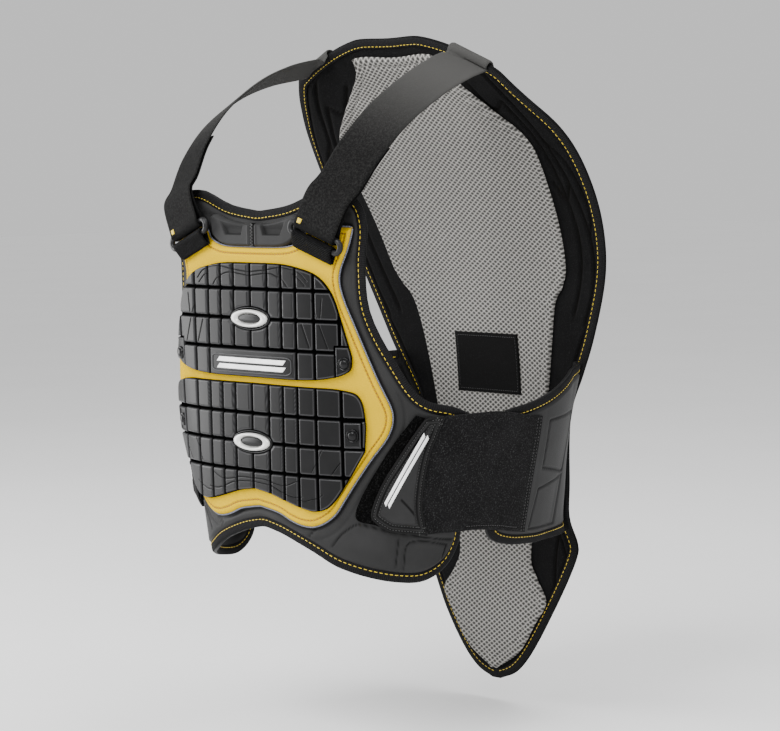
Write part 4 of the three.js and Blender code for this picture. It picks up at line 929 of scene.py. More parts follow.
def plastic_material(name, colour, rough, grain=0.0, coat=0.0, metal=0.0, shine=0.5):
    """Moulded plastic: near-even colour, worn to a slightly rougher and lighter skin in patches."""
    made, tree, shader = new_material(name)
    patches = noise(tree, 30.0, 4.0)
    tree.links.new(mix_colour(tree, ramp(tree, patches, 0.4, 0.75), colour, tuple(c * 1.25 for c in colour)),
                   shader.inputs["Base Color"])
    tree.links.new(ramp(tree, patches, 0.3, 0.75, rough * 0.9, rough * 1.15), shader.inputs["Roughness"])
    shader.inputs["Specular IOR Level"].default_value = shine
    shader.inputs["Coat Weight"].default_value = coat
    shader.inputs["Coat Roughness"].default_value = 0.15
    shader.inputs["Metallic"].default_value = metal
    if grain:
        bump(tree, shader, noise(tree, 900.0, 2.0), 0.0002, grain)
    return made


def thread_material(name, colour):
    """Sewing thread: fine twist across its length."""
    made, tree, shader = new_material(name)
    spots = noise(tree, 1800.0, 2.0)
    tree.links.new(mix_colour(tree, ramp(tree, spots, 0.35, 0.7), tuple(c * 0.7 for c in colour), colour),
                   shader.inputs["Base Color"])
    shader.inputs["Roughness"].default_value = 0.6
    shader.inputs["Sheen Weight"].default_value = 0.2
    bump(tree, shader, spots, 0.0001, 0.5)
    return made


def dress(obj, material, slot, *nodes, padded=None):
    """Gives a piece its material, its body, and the nodes it stands for; its slot is not used."""
    obj.data.materials.clear()
    obj.data.materials.append(material)
    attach(obj, "root")
    if nodes:
        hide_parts(*nodes)
    return obj


def finish_of(name):
    """The material of that name, made on first use."""
    if name in bpy.data.materials:
        return bpy.data.materials[name]
    looks = bpy.context.scene.guard_looks
    makers = {
        "dark foam": lambda: foam_material(name, tuple(looks.foam)),
        "quilted cloth": lambda: cloth_material(name, tuple(looks.quilt), 0.0011, 0.00015, 0.3, 0.0, 0.006, 0.9, 0.08),
        "yellow cloth": lambda: cloth_material(name, tuple(looks.cover), 0.0009, 0.00012, 0.06, 0.0, 0.0, 1.0, 0.0),
        "spacer mesh": lambda: mesh_material(name, tuple(looks.mesh), tuple(looks.mesh_hole_shade), looks.mesh_across,
                                             looks.mesh_up),
        "edge tape": lambda: ribbed_material(name, tuple(looks.tape), 0.0018),
        "heathered webbing": lambda: twill_material(name, tuple(looks.webbing_dark), tuple(looks.webbing_light),
                                                    0.0013),
        "black webbing": lambda: twill_material(name, (0.001, 0.001, 0.001), (0.014, 0.014, 0.015), 0.0022, 0.0005),
        "belt elastic": lambda: cloth_material(name, tuple(looks.elastic), 0.0013, 0.0003, 0.5, 0.0, 0.028, 0.9, 0.12),
        "hook cloth": lambda: cloth_material(name, (0.002, 0.002, 0.002), 0.0016, 0.0005, 0.3, 0.0, 0.012, 1.0, 0.02),
        "plate plastic": lambda: block_material(name, tuple(looks.plate)),
        "ring plastic": lambda: plastic_material(name, (0.012, 0.012, 0.0125), 0.35, 0.1, 0.0, 0.0, 0.2),
        "dark gloss": lambda: plastic_material(name, (0.003, 0.003, 0.0033), 0.25, 0.0, 0.0, 0.0, 0.2),
        "satin silver": lambda: plastic_material(name, (0.62, 0.62, 0.6), 0.3, 0.0, 0.0, 0.25),
        "white print": lambda: plastic_material(name, (0.93, 0.93, 0.93), 0.5, 0.0),
        "label cloth": lambda: cloth_material(name, (0.003, 0.003, 0.003), 0.0008, 0.0001, 0.2, 0.0, 0.004),
        "yellow thread": lambda: thread_material(name, tuple(looks.stitch)),
        "orange thread": lambda: thread_material(name, (0.3, 0.085, 0.002)),
        "black thread": lambda: thread_material(name, (0.003, 0.003, 0.003)),
        "grey thread": lambda: thread_material(name, (0.05, 0.05, 0.05)),
        "light thread": lambda: thread_material(name, (0.42, 0.41, 0.39)),
        "pale piping": lambda: ribbed_material(name, (0.2, 0.21, 0.26), 0.0016),
    }
    return makers[name]()


# The back


def back_height(x, level):
    """Thickness of the back: its edge's, and more in the middle, falling to the edge near sides, top and tail."""
    half = half_at(level)
    body = 1 - np.minimum(np.abs(x) / half, 1) ** 4
    top_half = BACK_OUTLINE["half"][-1] * BACK_HALF_WIDTH
    share = np.minimum(np.abs(x) / top_half, 1)
    dip = NAPE_DIP * np.maximum(0, 1 - (x / NAPE_HALF_WIDTH) ** 2) ** 2
    top = level_at(BACK_OUTLINE["down"][-1]) + BACK_OUTLINE["bow"][-1] * BACK_HEIGHT * (1 - share**TOP_BOW_POWER) - dip
    near_top = smoothstep(top - level, TAPE_WIDTH, CORE_FALLS_OVER)
    near_tail = smoothstep(level - level_at(1), TAPE_WIDTH, 2 * CORE_FALLS_OVER)
    return BACK_EDGE + (BACK_CORE - BACK_EDGE) * body * near_top * near_tail


QUILT_LINES = (
    ((0.60, 0.045), (0.72, 0.10), (0.80, 0.155), (0.86, 0.22), (0.88, 0.30), (0.84, 0.37), (0.74, 0.43)),
    ((0.66, 0.10), (0.755, 0.155), (0.80, 0.22), (0.80, 0.30), (0.75, 0.36), (0.66, 0.42)),
    ((0.80, 0.155), (0.90, 0.195), (0.93, 0.26), (0.88, 0.30)),
    ((0.86, 0.22), (0.80, 0.245), (0.755, 0.22)),
    ((0.45, 0.07), (0.56, 0.11), (0.66, 0.10)),
    ((0.86, 0.345), (0.78, 0.42), (0.68, 0.47), (0.58, 0.53)),
    ((0.43, 0.74), (0.50, 0.77), (0.53, 0.81), (0.48, 0.86)),
    ((0.50, 0.74), (0.45, 0.79), (0.44, 0.85)),
    ((0.57, 0.77), (0.49, 0.82), (0.47, 0.86)),
)


def make_back():
    grid = back_grid(BACK_OUTLINE, 150)
    ring = rim_of(back_grid(BACK_OUTLINE, 60))
    rim = evened(back, ring, 3.0, BACK_EDGE / 2, True, 3)
    x, level = grid[..., 0], grid[..., 1]
    away = distance(grid, rim, True)
    lift = smoothstep(away, TAPE_WIDTH - 2.0, TAPE_WIDTH + 3.0)
    middle = BACK_EDGE / 2
    outer = middle + 1.0 + (back_height(x, level) - middle - 1.0) * lift
    channel = distance(grid, inset(back, rim, 34.0, 0.0), True)
    outer = outer + groove(channel, 3.0, 2.0) * lift
    spine_line = np.abs(np.abs(x) - 26.0)
    below = smoothstep(-40.0 - level, 0, 20) * smoothstep(level - level_at(0.86), 0, 30)
    outer = outer + groove(spine_line, 3.0, 1.6) * below
    inner = middle - 1.0 + (0 - middle + 1.0) * lift
    quilt = np.zeros_like(x)
    mirrored = np.stack([np.abs(x), level], -1)
    for line in QUILT_LINES:
        points = np.array([[half * BACK_HALF_WIDTH, level_at(down)] for half, down in line])
        quilt = np.minimum(quilt, groove(distance(mirrored, through(points, 8)), 3.4, 1.7))
    inner = inner - quilt * lift
    shell = slab("back_shell", back(x, level, inner), back(x, level, outer), grid)
    dress(shell, finish_of("quilted cloth"), "neoprene", "back_panel", padded=0.8)
    # Painted shade: darkens the cloth along the quilting channels, by their depth.
    paint(shell, "painted_shade", np.concatenate([(-quilt * lift / 1.7).ravel() ** 2, 0 * x.ravel()]))
    tape = binding("back_binding", back, rim, middle)
    dress(tape, finish_of("edge tape"), "tape", "back_tape")
    run = inset(back, rim, 6.6, 0.0)
    points, normals = on_surface(back, run, middle - 2.75)
    paths = [(points, -normals), on_surface(back, run, middle + 2.75)]
    looks = bpy.context.scene.guard_looks
    thread = stitches("back_stitches", paths, looks.stitch_length * 1000, looks.stitch_gap * 1000, 0.7)
    dress(thread, finish_of("yellow thread"), "cover")


def make_lining():
    grid = back_grid(LINING_OUTLINE, 90)
    x, level = grid[..., 0], grid[..., 1]
    rim = evened(back, rim_of(grid), 3.0, 0.0, True, 2)
    away = distance(grid, rim, True)
    round_edge = 1 - (1 - np.clip(away / 2.5, 0, 1)) ** 2
    seam = groove(distance(grid, inset(back, rim, 9.0, 0.0), True), 1.8, 0.9)
    waves = 0.25 * np.sin(level / 23.0 + np.sin(x / 31.0)) * smoothstep(away, 10, 40)
    outer = back(x, level, -GAP - 0.4 - (LINING - 0.4) * round_edge - seam + waves)
    inner = back(x, level, -GAP + 0 * x)
    rise = along(spine(0 * level[:, 45], level[:, 45]))
    flat_uv = np.stack([x, rise[:, None] + 0 * x], -1)
    lining = slab("mesh_lining", outer, inner, flat_uv)
    dress(lining, finish_of("spacer mesh"), "mesh", "back_lining", padded=0.3)
    points, normals = on_surface(back, inset(back, rim, 8.6, 0.0), -GAP - LINING + 0.75)
    seam_thread = stitches("lining_stitches", [(points, -normals)], 2.2, 1.2, 0.5)
    dress(seam_thread, finish_of("light thread"), "mesh")


def make_label():
    middle = BACK_RISE - LABEL_DOWN
    xs = np.linspace(-0.5, 0.5, 60) * LABEL_WIDTH
    levels = middle + np.linspace(-0.5, 0.5, 44) * LABEL_HEIGHT
    x, level = np.meshgrid(xs, levels)
    edge = np.minimum(LABEL_WIDTH / 2 - np.abs(x), LABEL_HEIGHT / 2 - np.abs(level - middle))
    seat = -2 * GAP - LINING
    lift = 0.35 + 0.55 * smoothstep(edge, 0, 1.2) + groove(np.abs(edge - 3.0), 1.0, 0.25)
    patch = slab("label_patch", back(x, level, seat - lift), back(x, level, seat + 0.4 + 0 * x),
                 np.stack([x, level], -1))
    dress(patch, finish_of("label cloth"), "label", "back_label")
    half = np.array([LABEL_WIDTH / 2 - 3.0, LABEL_HEIGHT / 2 - 3.0])
    corners = np.array([[-1, -1], [1, -1], [1, 1], [-1, 1]]) * half + [0, middle]
    points, normals = on_surface(back, evened(back, corners, 2.0), seat - 0.75)
    dress(stitches("label_stitches", [(points, -normals)], 2.0, 0.9, 0.5), finish_of("black thread"), "label")


# The front


def front_edges(steps=12):
    edge, hem = outline(FRONT_OUTLINE, 0, WING_WRAP, NECK_LEVEL, FRONT_HEIGHT, steps)
    return both_sides(edge), both_sides(hem)


def cover_edges(steps=8):
    """Half of the cover's outline: the neck edge to the shoulder point, on round the armhole, and the hem."""
    def place(turns, drops):
        curve = through(np.stack([turns, drops], -1), steps)
        return np.stack([COVER_WRAP * curve[:, 0], NECK_LEVEL - COVER_DROP - COVER_HEIGHT * curve[:, 1]], -1)
    turn, drop = COVER_OUTLINE["edge_turn"], COVER_OUTLINE["edge_drop"]
    hem_turn, hem_drop = COVER_OUTLINE["hem_turn"], COVER_OUTLINE["hem_drop"]
    neck = place(turn[:SHOULDER_POINT + 1], drop[:SHOULDER_POINT + 1])
    armhole = place(turn[SHOULDER_POINT:] + hem_turn[-1:], drop[SHOULDER_POINT:] + hem_drop[-1:])
    return neck, armhole, place(hem_turn, hem_drop)


def cover_loop(steps=8):
    neck, armhole, hem = cover_edges(steps)
    return loop_of(both_sides(hem), both_sides(np.vstack([neck, armhole[1:-1]])))


def cover_grid(columns, rows):
    """Places on the cover: straight from neck edge to hem, moved over toward the armhole in step with the turn."""
    neck, armhole, hem = cover_edges(10)
    u = np.sin(np.linspace(0, 1, columns) * math.pi / 2 * 0.85) / math.sin(math.pi / 2 * 0.85)
    v = 0.5 + 0.5 * np.sin(np.linspace(-1, 1, rows) * math.pi / 2 * 0.85) / math.sin(math.pi / 2 * 0.85)

    def pick(path, share):
        at = share * (len(path) - 1)
        return np.stack([np.interp(at, np.arange(len(path)), path[:, k]) for k in (0, 1)], -1)
    t = v[:, None, None]
    middle = pick(neck, u)[None] * (1 - t) + pick(hem, u)[None] * t
    over = pick(armhole, v)[:, None] - middle[:, -1:]
    half = middle + u[None, :, None] * over
    return np.concatenate([(half * [-1, 1])[:, :0:-1], half], 1)


def make_front():
    edge, hem = front_edges()
    rim = evened(torso, loop_of(hem, edge), 3.0, -FOAM / 2, True, 4)
    grid = grid_between(hem, edge, 361, 121, 0.9, 0.9)
    turn, level = grid[..., 0], grid[..., 1]
    place = flat(grid)
    away = distance(place, flat(rim), True)
    cover_rim = evened(torso, cover_loop(), 4.0, 0.0, True, 1)
    out_of_cover = distance(place, flat(cover_rim), True)
    lift = smoothstep(away, TAPE_WIDTH - 1.5, TAPE_WIDTH + 2.5)
    clear = smoothstep(away, 10, 14)
    near = groove(np.abs(out_of_cover - 2.0), 3.2, 1.8) + groove(np.abs(out_of_cover - 12.0), 2.4, 0.9)
    creases = drawn(place, *WING_CREASES, width=1.7, depth=1.3)
    relief = near * clear - creases * clear
    middle = -FOAM / 2
    outer = middle + 1.2 + (-middle - 1.2 + relief) * lift
    inner = middle - 1.2 - (-middle - 1.2) * lift
    shell = slab("front_shell", torso(turn, level, outer), torso(turn, level, inner), place, False, 4)
    dress(shell, finish_of("dark foam"), "foam", "front_panel", padded=0.8)
    # Painted shade: darkens the foam in the wing creases and the channels along the cover, and over its inside face.
    paint(shell, "painted_shade", (creases / 1.3) ** 2 * 0.8 * clear + 0.5 * (-near / 1.8).clip(0, 1) ** 2 * clear, 0.9)
    tape = binding("front_binding", torso, rim, middle)
    dress(tape, finish_of("edge tape"), "tape", "front_tape")
    run = inset(torso, rim, 6.6, middle)
    looks = bpy.context.scene.guard_looks
    inside, normals = on_surface(torso, run, middle - 2.75)
    paths = [on_surface(torso, run, middle + 2.75), (inside, -normals)]
    thread = stitches("front_stitches", paths, looks.stitch_length * 1000, looks.stitch_gap * 1000, 0.7)
    dress(thread, finish_of("yellow thread"), "cover")


def make_cover():
    rim = evened(torso, cover_loop(10), 2.5, 0.0, True, 1)
    grid = cover_grid(189, 197)
    turn, level = grid[..., 0], grid[..., 1]
    place = flat(grid)
    away = distance(place, flat(rim), True)
    rise = np.sqrt(1 - (1 - np.clip(away / 4.0, 0, 1)) ** 2)
    seam = groove(np.abs(away - 5.2), 1.6, 1.0) * smoothstep(away, 2.5, 4.0)
    lip = np.zeros_like(away)
    for table, drop, height in ((UPPER_PLATE_OUTLINE, UPPER_PLATE_DROP, UPPER_PLATE_HEIGHT),
                                (LOWER_PLATE_OUTLINE, LOWER_PLATE_DROP, LOWER_PLATE_HEIGHT)):
        p_edge, p_hem = outline(table, 0, PLATE_WRAP, NECK_LEVEL - drop, height, 8)
        ring = flat(loop_of(both_sides(p_hem), both_sides(p_edge)))
        lip = np.maximum(lip, np.exp(-(distance(place, ring, True) / 3.0) ** 2))
    outer = GAP + 0.3 + (COVER - 0.3) * rise + seam + 0.5 * lip
    pad = slab("chest_pad", torso(turn, level, outer), torso(turn, level, GAP + 0 * turn), place, False, 4)
    dress(pad, finish_of("yellow cloth"), "cover", "chest_cover", padded=0.9)
    # Painted shade: darkens the yellow cloth in the stitched seam channel near its edge.
    paint(pad, "painted_shade", 0.5 * (-seam / 1.0) ** 2)
    run = inset(torso, rim, 5.2, 0.0)
    points, normals = on_surface(torso, run, COVER_OUTER - 0.8)
    dress(stitches("cover_stitches", [(points, normals)], 2.2, 1.3, 0.8), finish_of("orange thread"), "cover")
    round_points = np.linspace(0, 2 * math.pi, 8, endpoint=False)
    centre, inward, normal = way_in(torso, rim, GAP + 0.9, True)
    inward = unit(inward)
    rings = centre[:, None] - inward[:, None] * 0.6 + 0.75 * (
        inward[:, None] * np.cos(round_points)[None, :, None] + normal[:, None] * np.sin(round_points)[None, :, None])
    run_length = along(centre)
    uv = np.stack([run_length[:, None] + 0 * round_points[None], 0 * run_length[:, None] + round_points[None]], -1)
    dress(carried("cover_piping", rings, uv, True), finish_of("pale piping"), "cover")


def make_neck_pads():
    top = NECK_LEVEL - TAPE_WIDTH - 2 * GAP
    edge, hem = outline(PAD_OUTLINE, PAD_SEAM, PAD_WRAP - PAD_SEAM, top, PAD_HEIGHT, 8)
    rim = evened(torso, loop_of(hem, edge), 2.0, 0.0, True, 1)
    grid = grid_between(hem, edge, 161, 81, 0.9, 0.9)
    place = flat(grid)
    away = distance(place, flat(rim), True)
    rise = np.sqrt(1 - (1 - np.clip(away / 3.0, 0, 1)) ** 2)
    x, z = place[..., 0], place[..., 1] - (top - 1.0)
    slant = np.clip(-z / 10.0, -0.5, 1)
    inside = np.minimum.reduce([x - (11.0 + 3.5 * slant), (40.0 - 6.0 * slant) - x, z + 9.0])
    recess = smoothstep(inside, -0.7, 0.7) * smoothstep(-z, -4.0, 5.0)
    ridge = np.exp(-((x - 5.0) / 1.1) ** 2)
    outer = GAP + 0.3 + (PAD - 0.3) * rise - 2.6 * recess + 0.5 * ridge * rise
    for mirror, name in ((False, "left"), (True, "right")):
        pad = slab(f"neck_foam_{name}", torso(grid[..., 0], grid[..., 1], outer),
                   torso(grid[..., 0], grid[..., 1], GAP + 0 * x), place, mirror, 4)
        dress(pad, finish_of("dark foam"), "foam", f"neck_pad_{name}", padded=0.9)
        # Painted shade: darkens the foam in each pad's recess.
        paint(pad, "painted_shade", 0.6 * recess)
    zigzag = np.arange(15)
    turns = np.where(zigzag % 2 == 0, -0.7, 0.7)
    levels = top - 0.5 - zigzag / 14 * (PAD_HEIGHT - 1)
    points, normals = on_surface(torso, np.stack([turns, levels], -1), GAP + PAD - 0.2, False)
    dress(stitches("neck_seam_stitches", [(points, normals)], 1.6, 0.3, 0.9), finish_of("black thread"), "foam")


def block_shapes(place, level_grooves, half_groove=1.3, corner=1.6):
    """Distance out of rounded blocks between grooves, below zero inside a block."""
    columns = arc(np.array([0.0, *COLUMN_GROOVES]) * PLATE_WRAP)
    x, z = np.abs(place[..., 0]), place[..., 1]
    edges = np.concatenate([columns, [1e3]])
    index = np.clip(np.searchsorted(edges, x, side="right") - 1, 0, len(columns) - 1)
    rows = np.concatenate([[-1e3], np.sort(level_grooves), [1e3]])
    row = np.clip(np.searchsorted(rows, z, side="right") - 1, 0, len(rows) - 2)
    dx = np.maximum(edges[index] + half_groove - x, x - (edges[index + 1] - half_groove)) + corner
    dz = np.maximum(rows[row] + half_groove - z, z - (rows[row + 1] - half_groove)) + corner
    return np.hypot(np.maximum(dx, 0), np.maximum(dz, 0)) + np.minimum(np.maximum(dx, dz), 0) - corner


def make_plate(name, table, drop, height, grooves, node, curves, badge_level, stud):
    """One plate: blocks with bevelled edges between deep grooves, incised curves, a collar and two stud cells."""
    top = NECK_LEVEL - drop
    edge, hem = outline(table, 0, PLATE_WRAP, top, height, 10)
    rim = evened(torso, loop_of(both_sides(hem), both_sides(edge)), 2.0, 0.0, True, 1)
    grid = grid_between(both_sides(hem), both_sides(edge), 449, 197, 0.0, 0.6)
    turn, level = grid[..., 0], grid[..., 1]
    place = flat(grid)
    away = distance(place, flat(rim), True)
    outside = block_shapes(place, [top - g * height for g in grooves])
    if node == "chest_plate_upper":
        field_x, field_z = arc(21.2), top - grooves[2] * height
        field = np.maximum(np.abs(place[..., 0]) - field_x + 1.3, place[..., 1] - field_z + 1.3)
        outside = np.where(field < 0.9, field, outside)
    x = np.abs(place[..., 0])
    cell_x, cell_z = arc(stud[0]), stud[1]
    cell = np.maximum(np.abs(x - cell_x) - 8.0, np.abs(place[..., 1] - cell_z) - stud[2])
    outside = np.where(cell < 1.4, np.maximum(cell, -1e3), np.maximum(outside, -1e3))
    oval = (np.hypot(place[..., 0] / 24.9, (place[..., 1] - badge_level) / 10.3) - 1) * 10.3
    outside = np.maximum(outside, -oval)
    deep = smoothstep(outside, -0.35, 0.45)
    bevel = smoothstep(outside, -1.5, -0.3)
    cuts = np.maximum(drawn(place, *curves[0], width=0.8, depth=0.5),
                      drawn(place, *curves[1], width=0.8, depth=0.5, mirrored=False))
    sunk = 0.7 * smoothstep(-cell, 1.2, 2.2)
    rim_fall = (1 - np.sqrt(1 - (1 - np.clip(away / 2.0, 0, 1)) ** 2)) * 3.2
    outer = PLATE_OUTER - np.maximum(np.maximum(1.9 * deep + 0.6 * bevel, rim_fall), cuts + sunk)
    plate = slab(name, torso(turn, level, outer), torso(turn, level, COVER_OUTER - 0.4 + 0 * turn), place, False, 4)
    dress(plate, finish_of("plate plastic"), "plate", node)
    # Painted highlight: a thin lighter line just inside each block's outline and the plate's rim.
    edge_highlight = np.exp(-((np.minimum(-outside, away - 0.6) - 0.9) / 0.4) ** 2)
    paint(plate, "edge", 0.55 * edge_highlight * smoothstep(away, 0.3, 1.0))
    # Painted shade: near black in the grooves and incised curves and at the plate's rim.
    paint(plate, "painted_shade", np.maximum(np.maximum(deep, (cuts / 0.5) ** 2 * 0.9), smoothstep(-away, -0.7, -0.1)))


def oval_piece(name, centre_level, profile, material, slot, *nodes, centre_turn=0.0, width=48.0, height=17.0,
               seat=PLATE_OUTER):
    """A lathe form with an oval outline, laid on the chest: profile rows are share of the radius and rise."""
    around = np.linspace(0, 2 * math.pi, 72, endpoint=False)
    radius = np.array([row[0] for row in profile])[:, None]
    rise = np.array([row[1] for row in profile])[:, None]
    turn_of = np.interp(arc(centre_turn) + radius * np.cos(around)[None] * width / 2, ARCS, TURNS)
    level = centre_level + radius * np.sin(around)[None] * height / 2
    rings = torso(turn_of, level, seat + rise)
    uv = np.stack([radius * np.cos(around)[None] * width / 2, radius * np.sin(around)[None] * height / 2], -1)
    obj = carried(name, rings, uv, False)
    return dress(obj, material, slot, *nodes)


def make_badges():
    for name, level in (("upper", UPPER_BADGE_LEVEL), ("lower", LOWER_BADGE_LEVEL)):
        oval_piece(f"badge_collar_{name}", level, ((1.0, -2.6), (1.0, -0.9), (0.97, -0.1), (0.92, 0.0), (0.88, -0.5),
                                                   (0.86, -1.8)), finish_of("dark gloss"), "plate",
                   width=49.0, height=20.0)
        oval_piece(f"badge_rim_{name}", level, ((0.99, -1.8), (0.98, 1.0), (0.95, 1.6), (0.88, 2.1), (0.8, 2.25),
                                                (0.72, 2.0), (0.66, 1.4), (0.64, 0.6), (0.63, -1.2)),
                   finish_of("satin silver"), "silver", f"badge_{name}", width=44.5, height=15.6)
        oval_piece(f"badge_eye_{name}", level, ((1.0, -1.2), (0.98, 0.2), (0.85, 0.3), (0.7, 0.5), (0.3, 0.7),
                                                (0.02, 0.7)), finish_of("dark gloss"), "plate",
                   width=29.6, height=7.5)


def make_nameplate():
    level = NECK_LEVEL - UPPER_PLATE_DROP - 0.885 * UPPER_PLATE_HEIGHT
    xs = np.linspace(-50, 50, 160)
    shares = np.linspace(-1, 1, 40)
    half = 8.5 * np.minimum(1, 0.35 + 0.65 * np.sqrt(1 - np.clip((np.abs(xs) - 42) / 8.01, 0, 1) ** 2))
    x = xs[None] + 0 * shares[:, None]
    z = shares[:, None] * half[None]
    edge = np.minimum(half[None] - np.abs(z), 50 - np.abs(x))
    outer = PLATE_OUTER - 0.8 + 1.5 * smoothstep(edge, 0, 0.9) - 0.9 * smoothstep(edge, 1.3, 2.0)
    turn = np.interp(x, ARCS, TURNS)
    plate = slab("name_lozenge", torso(turn, level + z, outer), torso(turn, level + z, PLATE_OUTER - 2.2 + 0 * z),
                 np.stack([x, z], -1))
    dress(plate, finish_of("plate plastic"), "plate", "nameplate")
    # Painted highlight: a lighter line along the top of the raised outline.
    paint(plate, "edge", 0.9 * np.exp(-((edge - 1.1) / 0.4) ** 2))
    # Painted shade: the sunken field inside the outline is darkened.
    paint(plate, "painted_shade", smoothstep(edge, 1.7, 2.2))
    for name, centre in (("a", 3.0), ("b", -3.0)):
        xs = np.linspace(-41, 41, 90)
        zs = np.linspace(-2.0, 2.0, 6)
        x = xs[None] + zs[:, None] * 0.9
        z = centre + zs[:, None] + 0 * x
        turn = np.interp(x, ARCS, TURNS)
        stripe = slab(f"name_stripe_{name}", torso(turn, level + z, PLATE_OUTER + 0.35 + 0 * z),
                      torso(turn, level + z, PLATE_OUTER - 0.6 + 0 * z), np.stack([x, z], -1))
        dress(stripe, finish_of("white print"), "silver")


def make_studs():
    for name, (turn, level, _size) in (("upper", UPPER_STUD), ("lower", LOWER_STUD)):
        for word, way in (("left", 1), ("right", -1)):
            oval_piece(f"stud_cap_{name}_{word}", level,
                       ((1.0, -1.6), (1.0, 0.1), (0.93, 0.7), (0.84, 0.7), (0.78, 0.0), (0.7, 0.0), (0.64, 1.1),
                        (0.5, 1.6), (0.25, 1.9), (0.02, 2.0)),
                       finish_of("dark gloss"), "plate", f"stud_{name}_{word}",
                       centre_turn=way * turn, width=11.6, height=11.6, seat=PLATE_OUTER)


# Straps, rings and anchors, worked out on the wearer's left


def ring_frame():
    """Centre of the ring and its ways: out of the chest, along its bars and up."""
    one = np.array([RING_TURN]), np.array([NECK_LEVEL - RING_DROP])
    centre = torso(one[0], one[1], COVER_OUTER + RING_STANDOFF)[0]
    along_u, _v, normal = (a[0] for a in slopes(torso, one[0], one[1], COVER_OUTER))
    across = unit(along_u)
    upright = unit(np.cross(across, normal))
    upright = upright if upright[2] > 0 else -upright
    lean = math.radians(STRAP_LEAN)
    width_way = across * math.cos(lean) - upright * math.sin(lean)
    up_way = across * math.sin(lean) + upright * math.cos(lean)
    return centre, normal, width_way, up_way


def fold(bar, radius, normal, up_way, way, steps=12):
    angle = np.linspace(0, math.pi, steps + 1)[:, None]
    return bar - normal * radius * np.cos(angle) + up_way * way * radius * np.sin(angle)


def ribbon(name, points, ways, width, thick, mirror):
    """A flat band: a thin rounded section carried along a path, its width along the given ways."""
    before, after = np.vstack([points[:1], points[:-1]]), np.vstack([points[1:], points[-1:]])
    tangent = unit(after - before)
    across = unit(ways - tangent * np.sum(tangent * ways, -1, keepdims=True))
    face = np.cross(tangent, across)
    share = np.linspace(-1, 1, 25)
    a = np.concatenate([share, share[::-1]])
    crown = 1 - 0.75 * np.clip((np.abs(a) - 0.965) / 0.035, 0, 1) ** 2
    b = np.repeat([1.0, -1.0], 25) * thick / 2 * crown
    rings = points[:, None] + across[:, None] * (a * width / 2)[None, :, None] + face[:, None] * b[None, :, None]
    run = along(points)
    uv = np.stack([run[:, None] + 0 * a[None], 0 * run[:, None] + (a * width / 2)[None]], -1)
    return carried(name, rings, uv, False, mirror)


def strap_path():
    """Centre line and width way of a strap: return layer, fold round the ring, over the shoulder, down the back."""
    centre, normal, width_way, up_way = ring_frame()
    bar = centre + up_way * (RING_HEIGHT - RING_WIRE) / 2
    radius = (RING_WIRE + STRAP_THICK) / 2 + GAP
    top_half = BACK_OUTLINE["half"][-1] * BACK_HALF_WIDTH

    def top_level(x):
        share = min(abs(x) / top_half, 1)
        dip = NAPE_DIP * max(0, 1 - (x / NAPE_HALF_WIDTH) ** 2) ** 2
        bow = BACK_OUTLINE["bow"][-1] * BACK_HEIGHT * (1 - share**TOP_BOW_POWER)
        return float(level_at(BACK_OUTLINE["down"][-1])) + bow - dip

    def on_back(x, level, out):
        return back(np.array([x]), np.array([level]), np.array([out]))[0]

    x = STRAP_BACK_X
    edge = on_back(x, top_level(x), BACK_EDGE / 2)
    step = STRAP_WIDTH / 2
    edge_way = unit(on_back(x + step, top_level(x + step), BACK_EDGE / 2)
                    - on_back(x - step, top_level(x - step), BACK_EDGE / 2))
    back_normal = slopes(back, np.array([x]), np.array([top_level(x)]), np.array([0.0]))[2][0]
    over_way = unit(np.cross(edge_way, back_normal))
    over_way = over_way if over_way[2] > 0 else -over_way
    start = bar + normal * radius
    wrap_radius = (TAPE_THICK + STRAP_THICK) / 2 + STRAP_OVER_TAPE
    wrap_middle = edge + over_way * (STRAP_OVER_TAPE + STRAP_THICK / 2 - wrap_radius)
    angle = np.linspace(0, math.pi, 13)[:, None]
    wrap = wrap_middle - back_normal * wrap_radius * np.cos(angle) + over_way * wrap_radius * np.sin(angle)
    span = wrap[0] - start
    route = np.stack([start[0] + np.array(SHOULDER_ROUTE["splay"]) * STRAP_SPLAY,
                      start[1] + np.array(SHOULDER_ROUTE["along"]) * span[1],
                      start[2] + np.array(SHOULDER_ROUTE["rise"]) * span[2]], -1)
    curve = through(np.vstack([start, route, wrap[0]]), 24)
    run = along(curve)
    steps = 110
    at = np.linspace(0, run[-1], steps + 1)
    main = np.stack([np.interp(at, run, curve[:, k]) for k in range(3)], -1)
    share = at / run[-1]
    blend = smoothstep(share, 0.1, 0.9)[:, None]
    ways = unit(width_way * (1 - blend) + edge_way * blend)
    lap = []
    for part in np.linspace(0.08, 1, 14):
        point = edge - over_way * (part * STRAP_BACK_LAP + wrap_radius)
        seat = float(back_height(np.array([point[0]]), np.array([point[2]]))[0]) + STRAP_OVER_TAPE + STRAP_THICK / 2
        lap.append(on_back(point[0], point[2], seat))
    lap = np.array(lap)
    count = int(round(steps * RETURN_LENGTH / run[-1]))
    index = np.arange(count, 0, -1)
    tangent = unit(main[index + 1] - main[index - 1])
    face = unit(np.cross(tangent, ways[index]))
    face *= np.sign(np.sum(face * normal, -1, keepdims=True))
    apart = STRAP_THICK + GAP
    flare = (2 * radius - apart) * np.exp(-at[index] / RETURN_FLARE)
    returned = main[index] - face * (apart + flare)[:, None]
    folded = fold(bar, radius, normal, up_way, -1)[:-1]
    points = np.vstack([returned, folded, main[:-1], wrap, lap])
    all_ways = np.vstack([ways[index], np.tile(width_way, (len(folded), 1)), ways[:-1],
                          np.tile(edge_way, (len(wrap) + len(lap), 1))])
    return points, all_ways, len(returned) + len(folded)


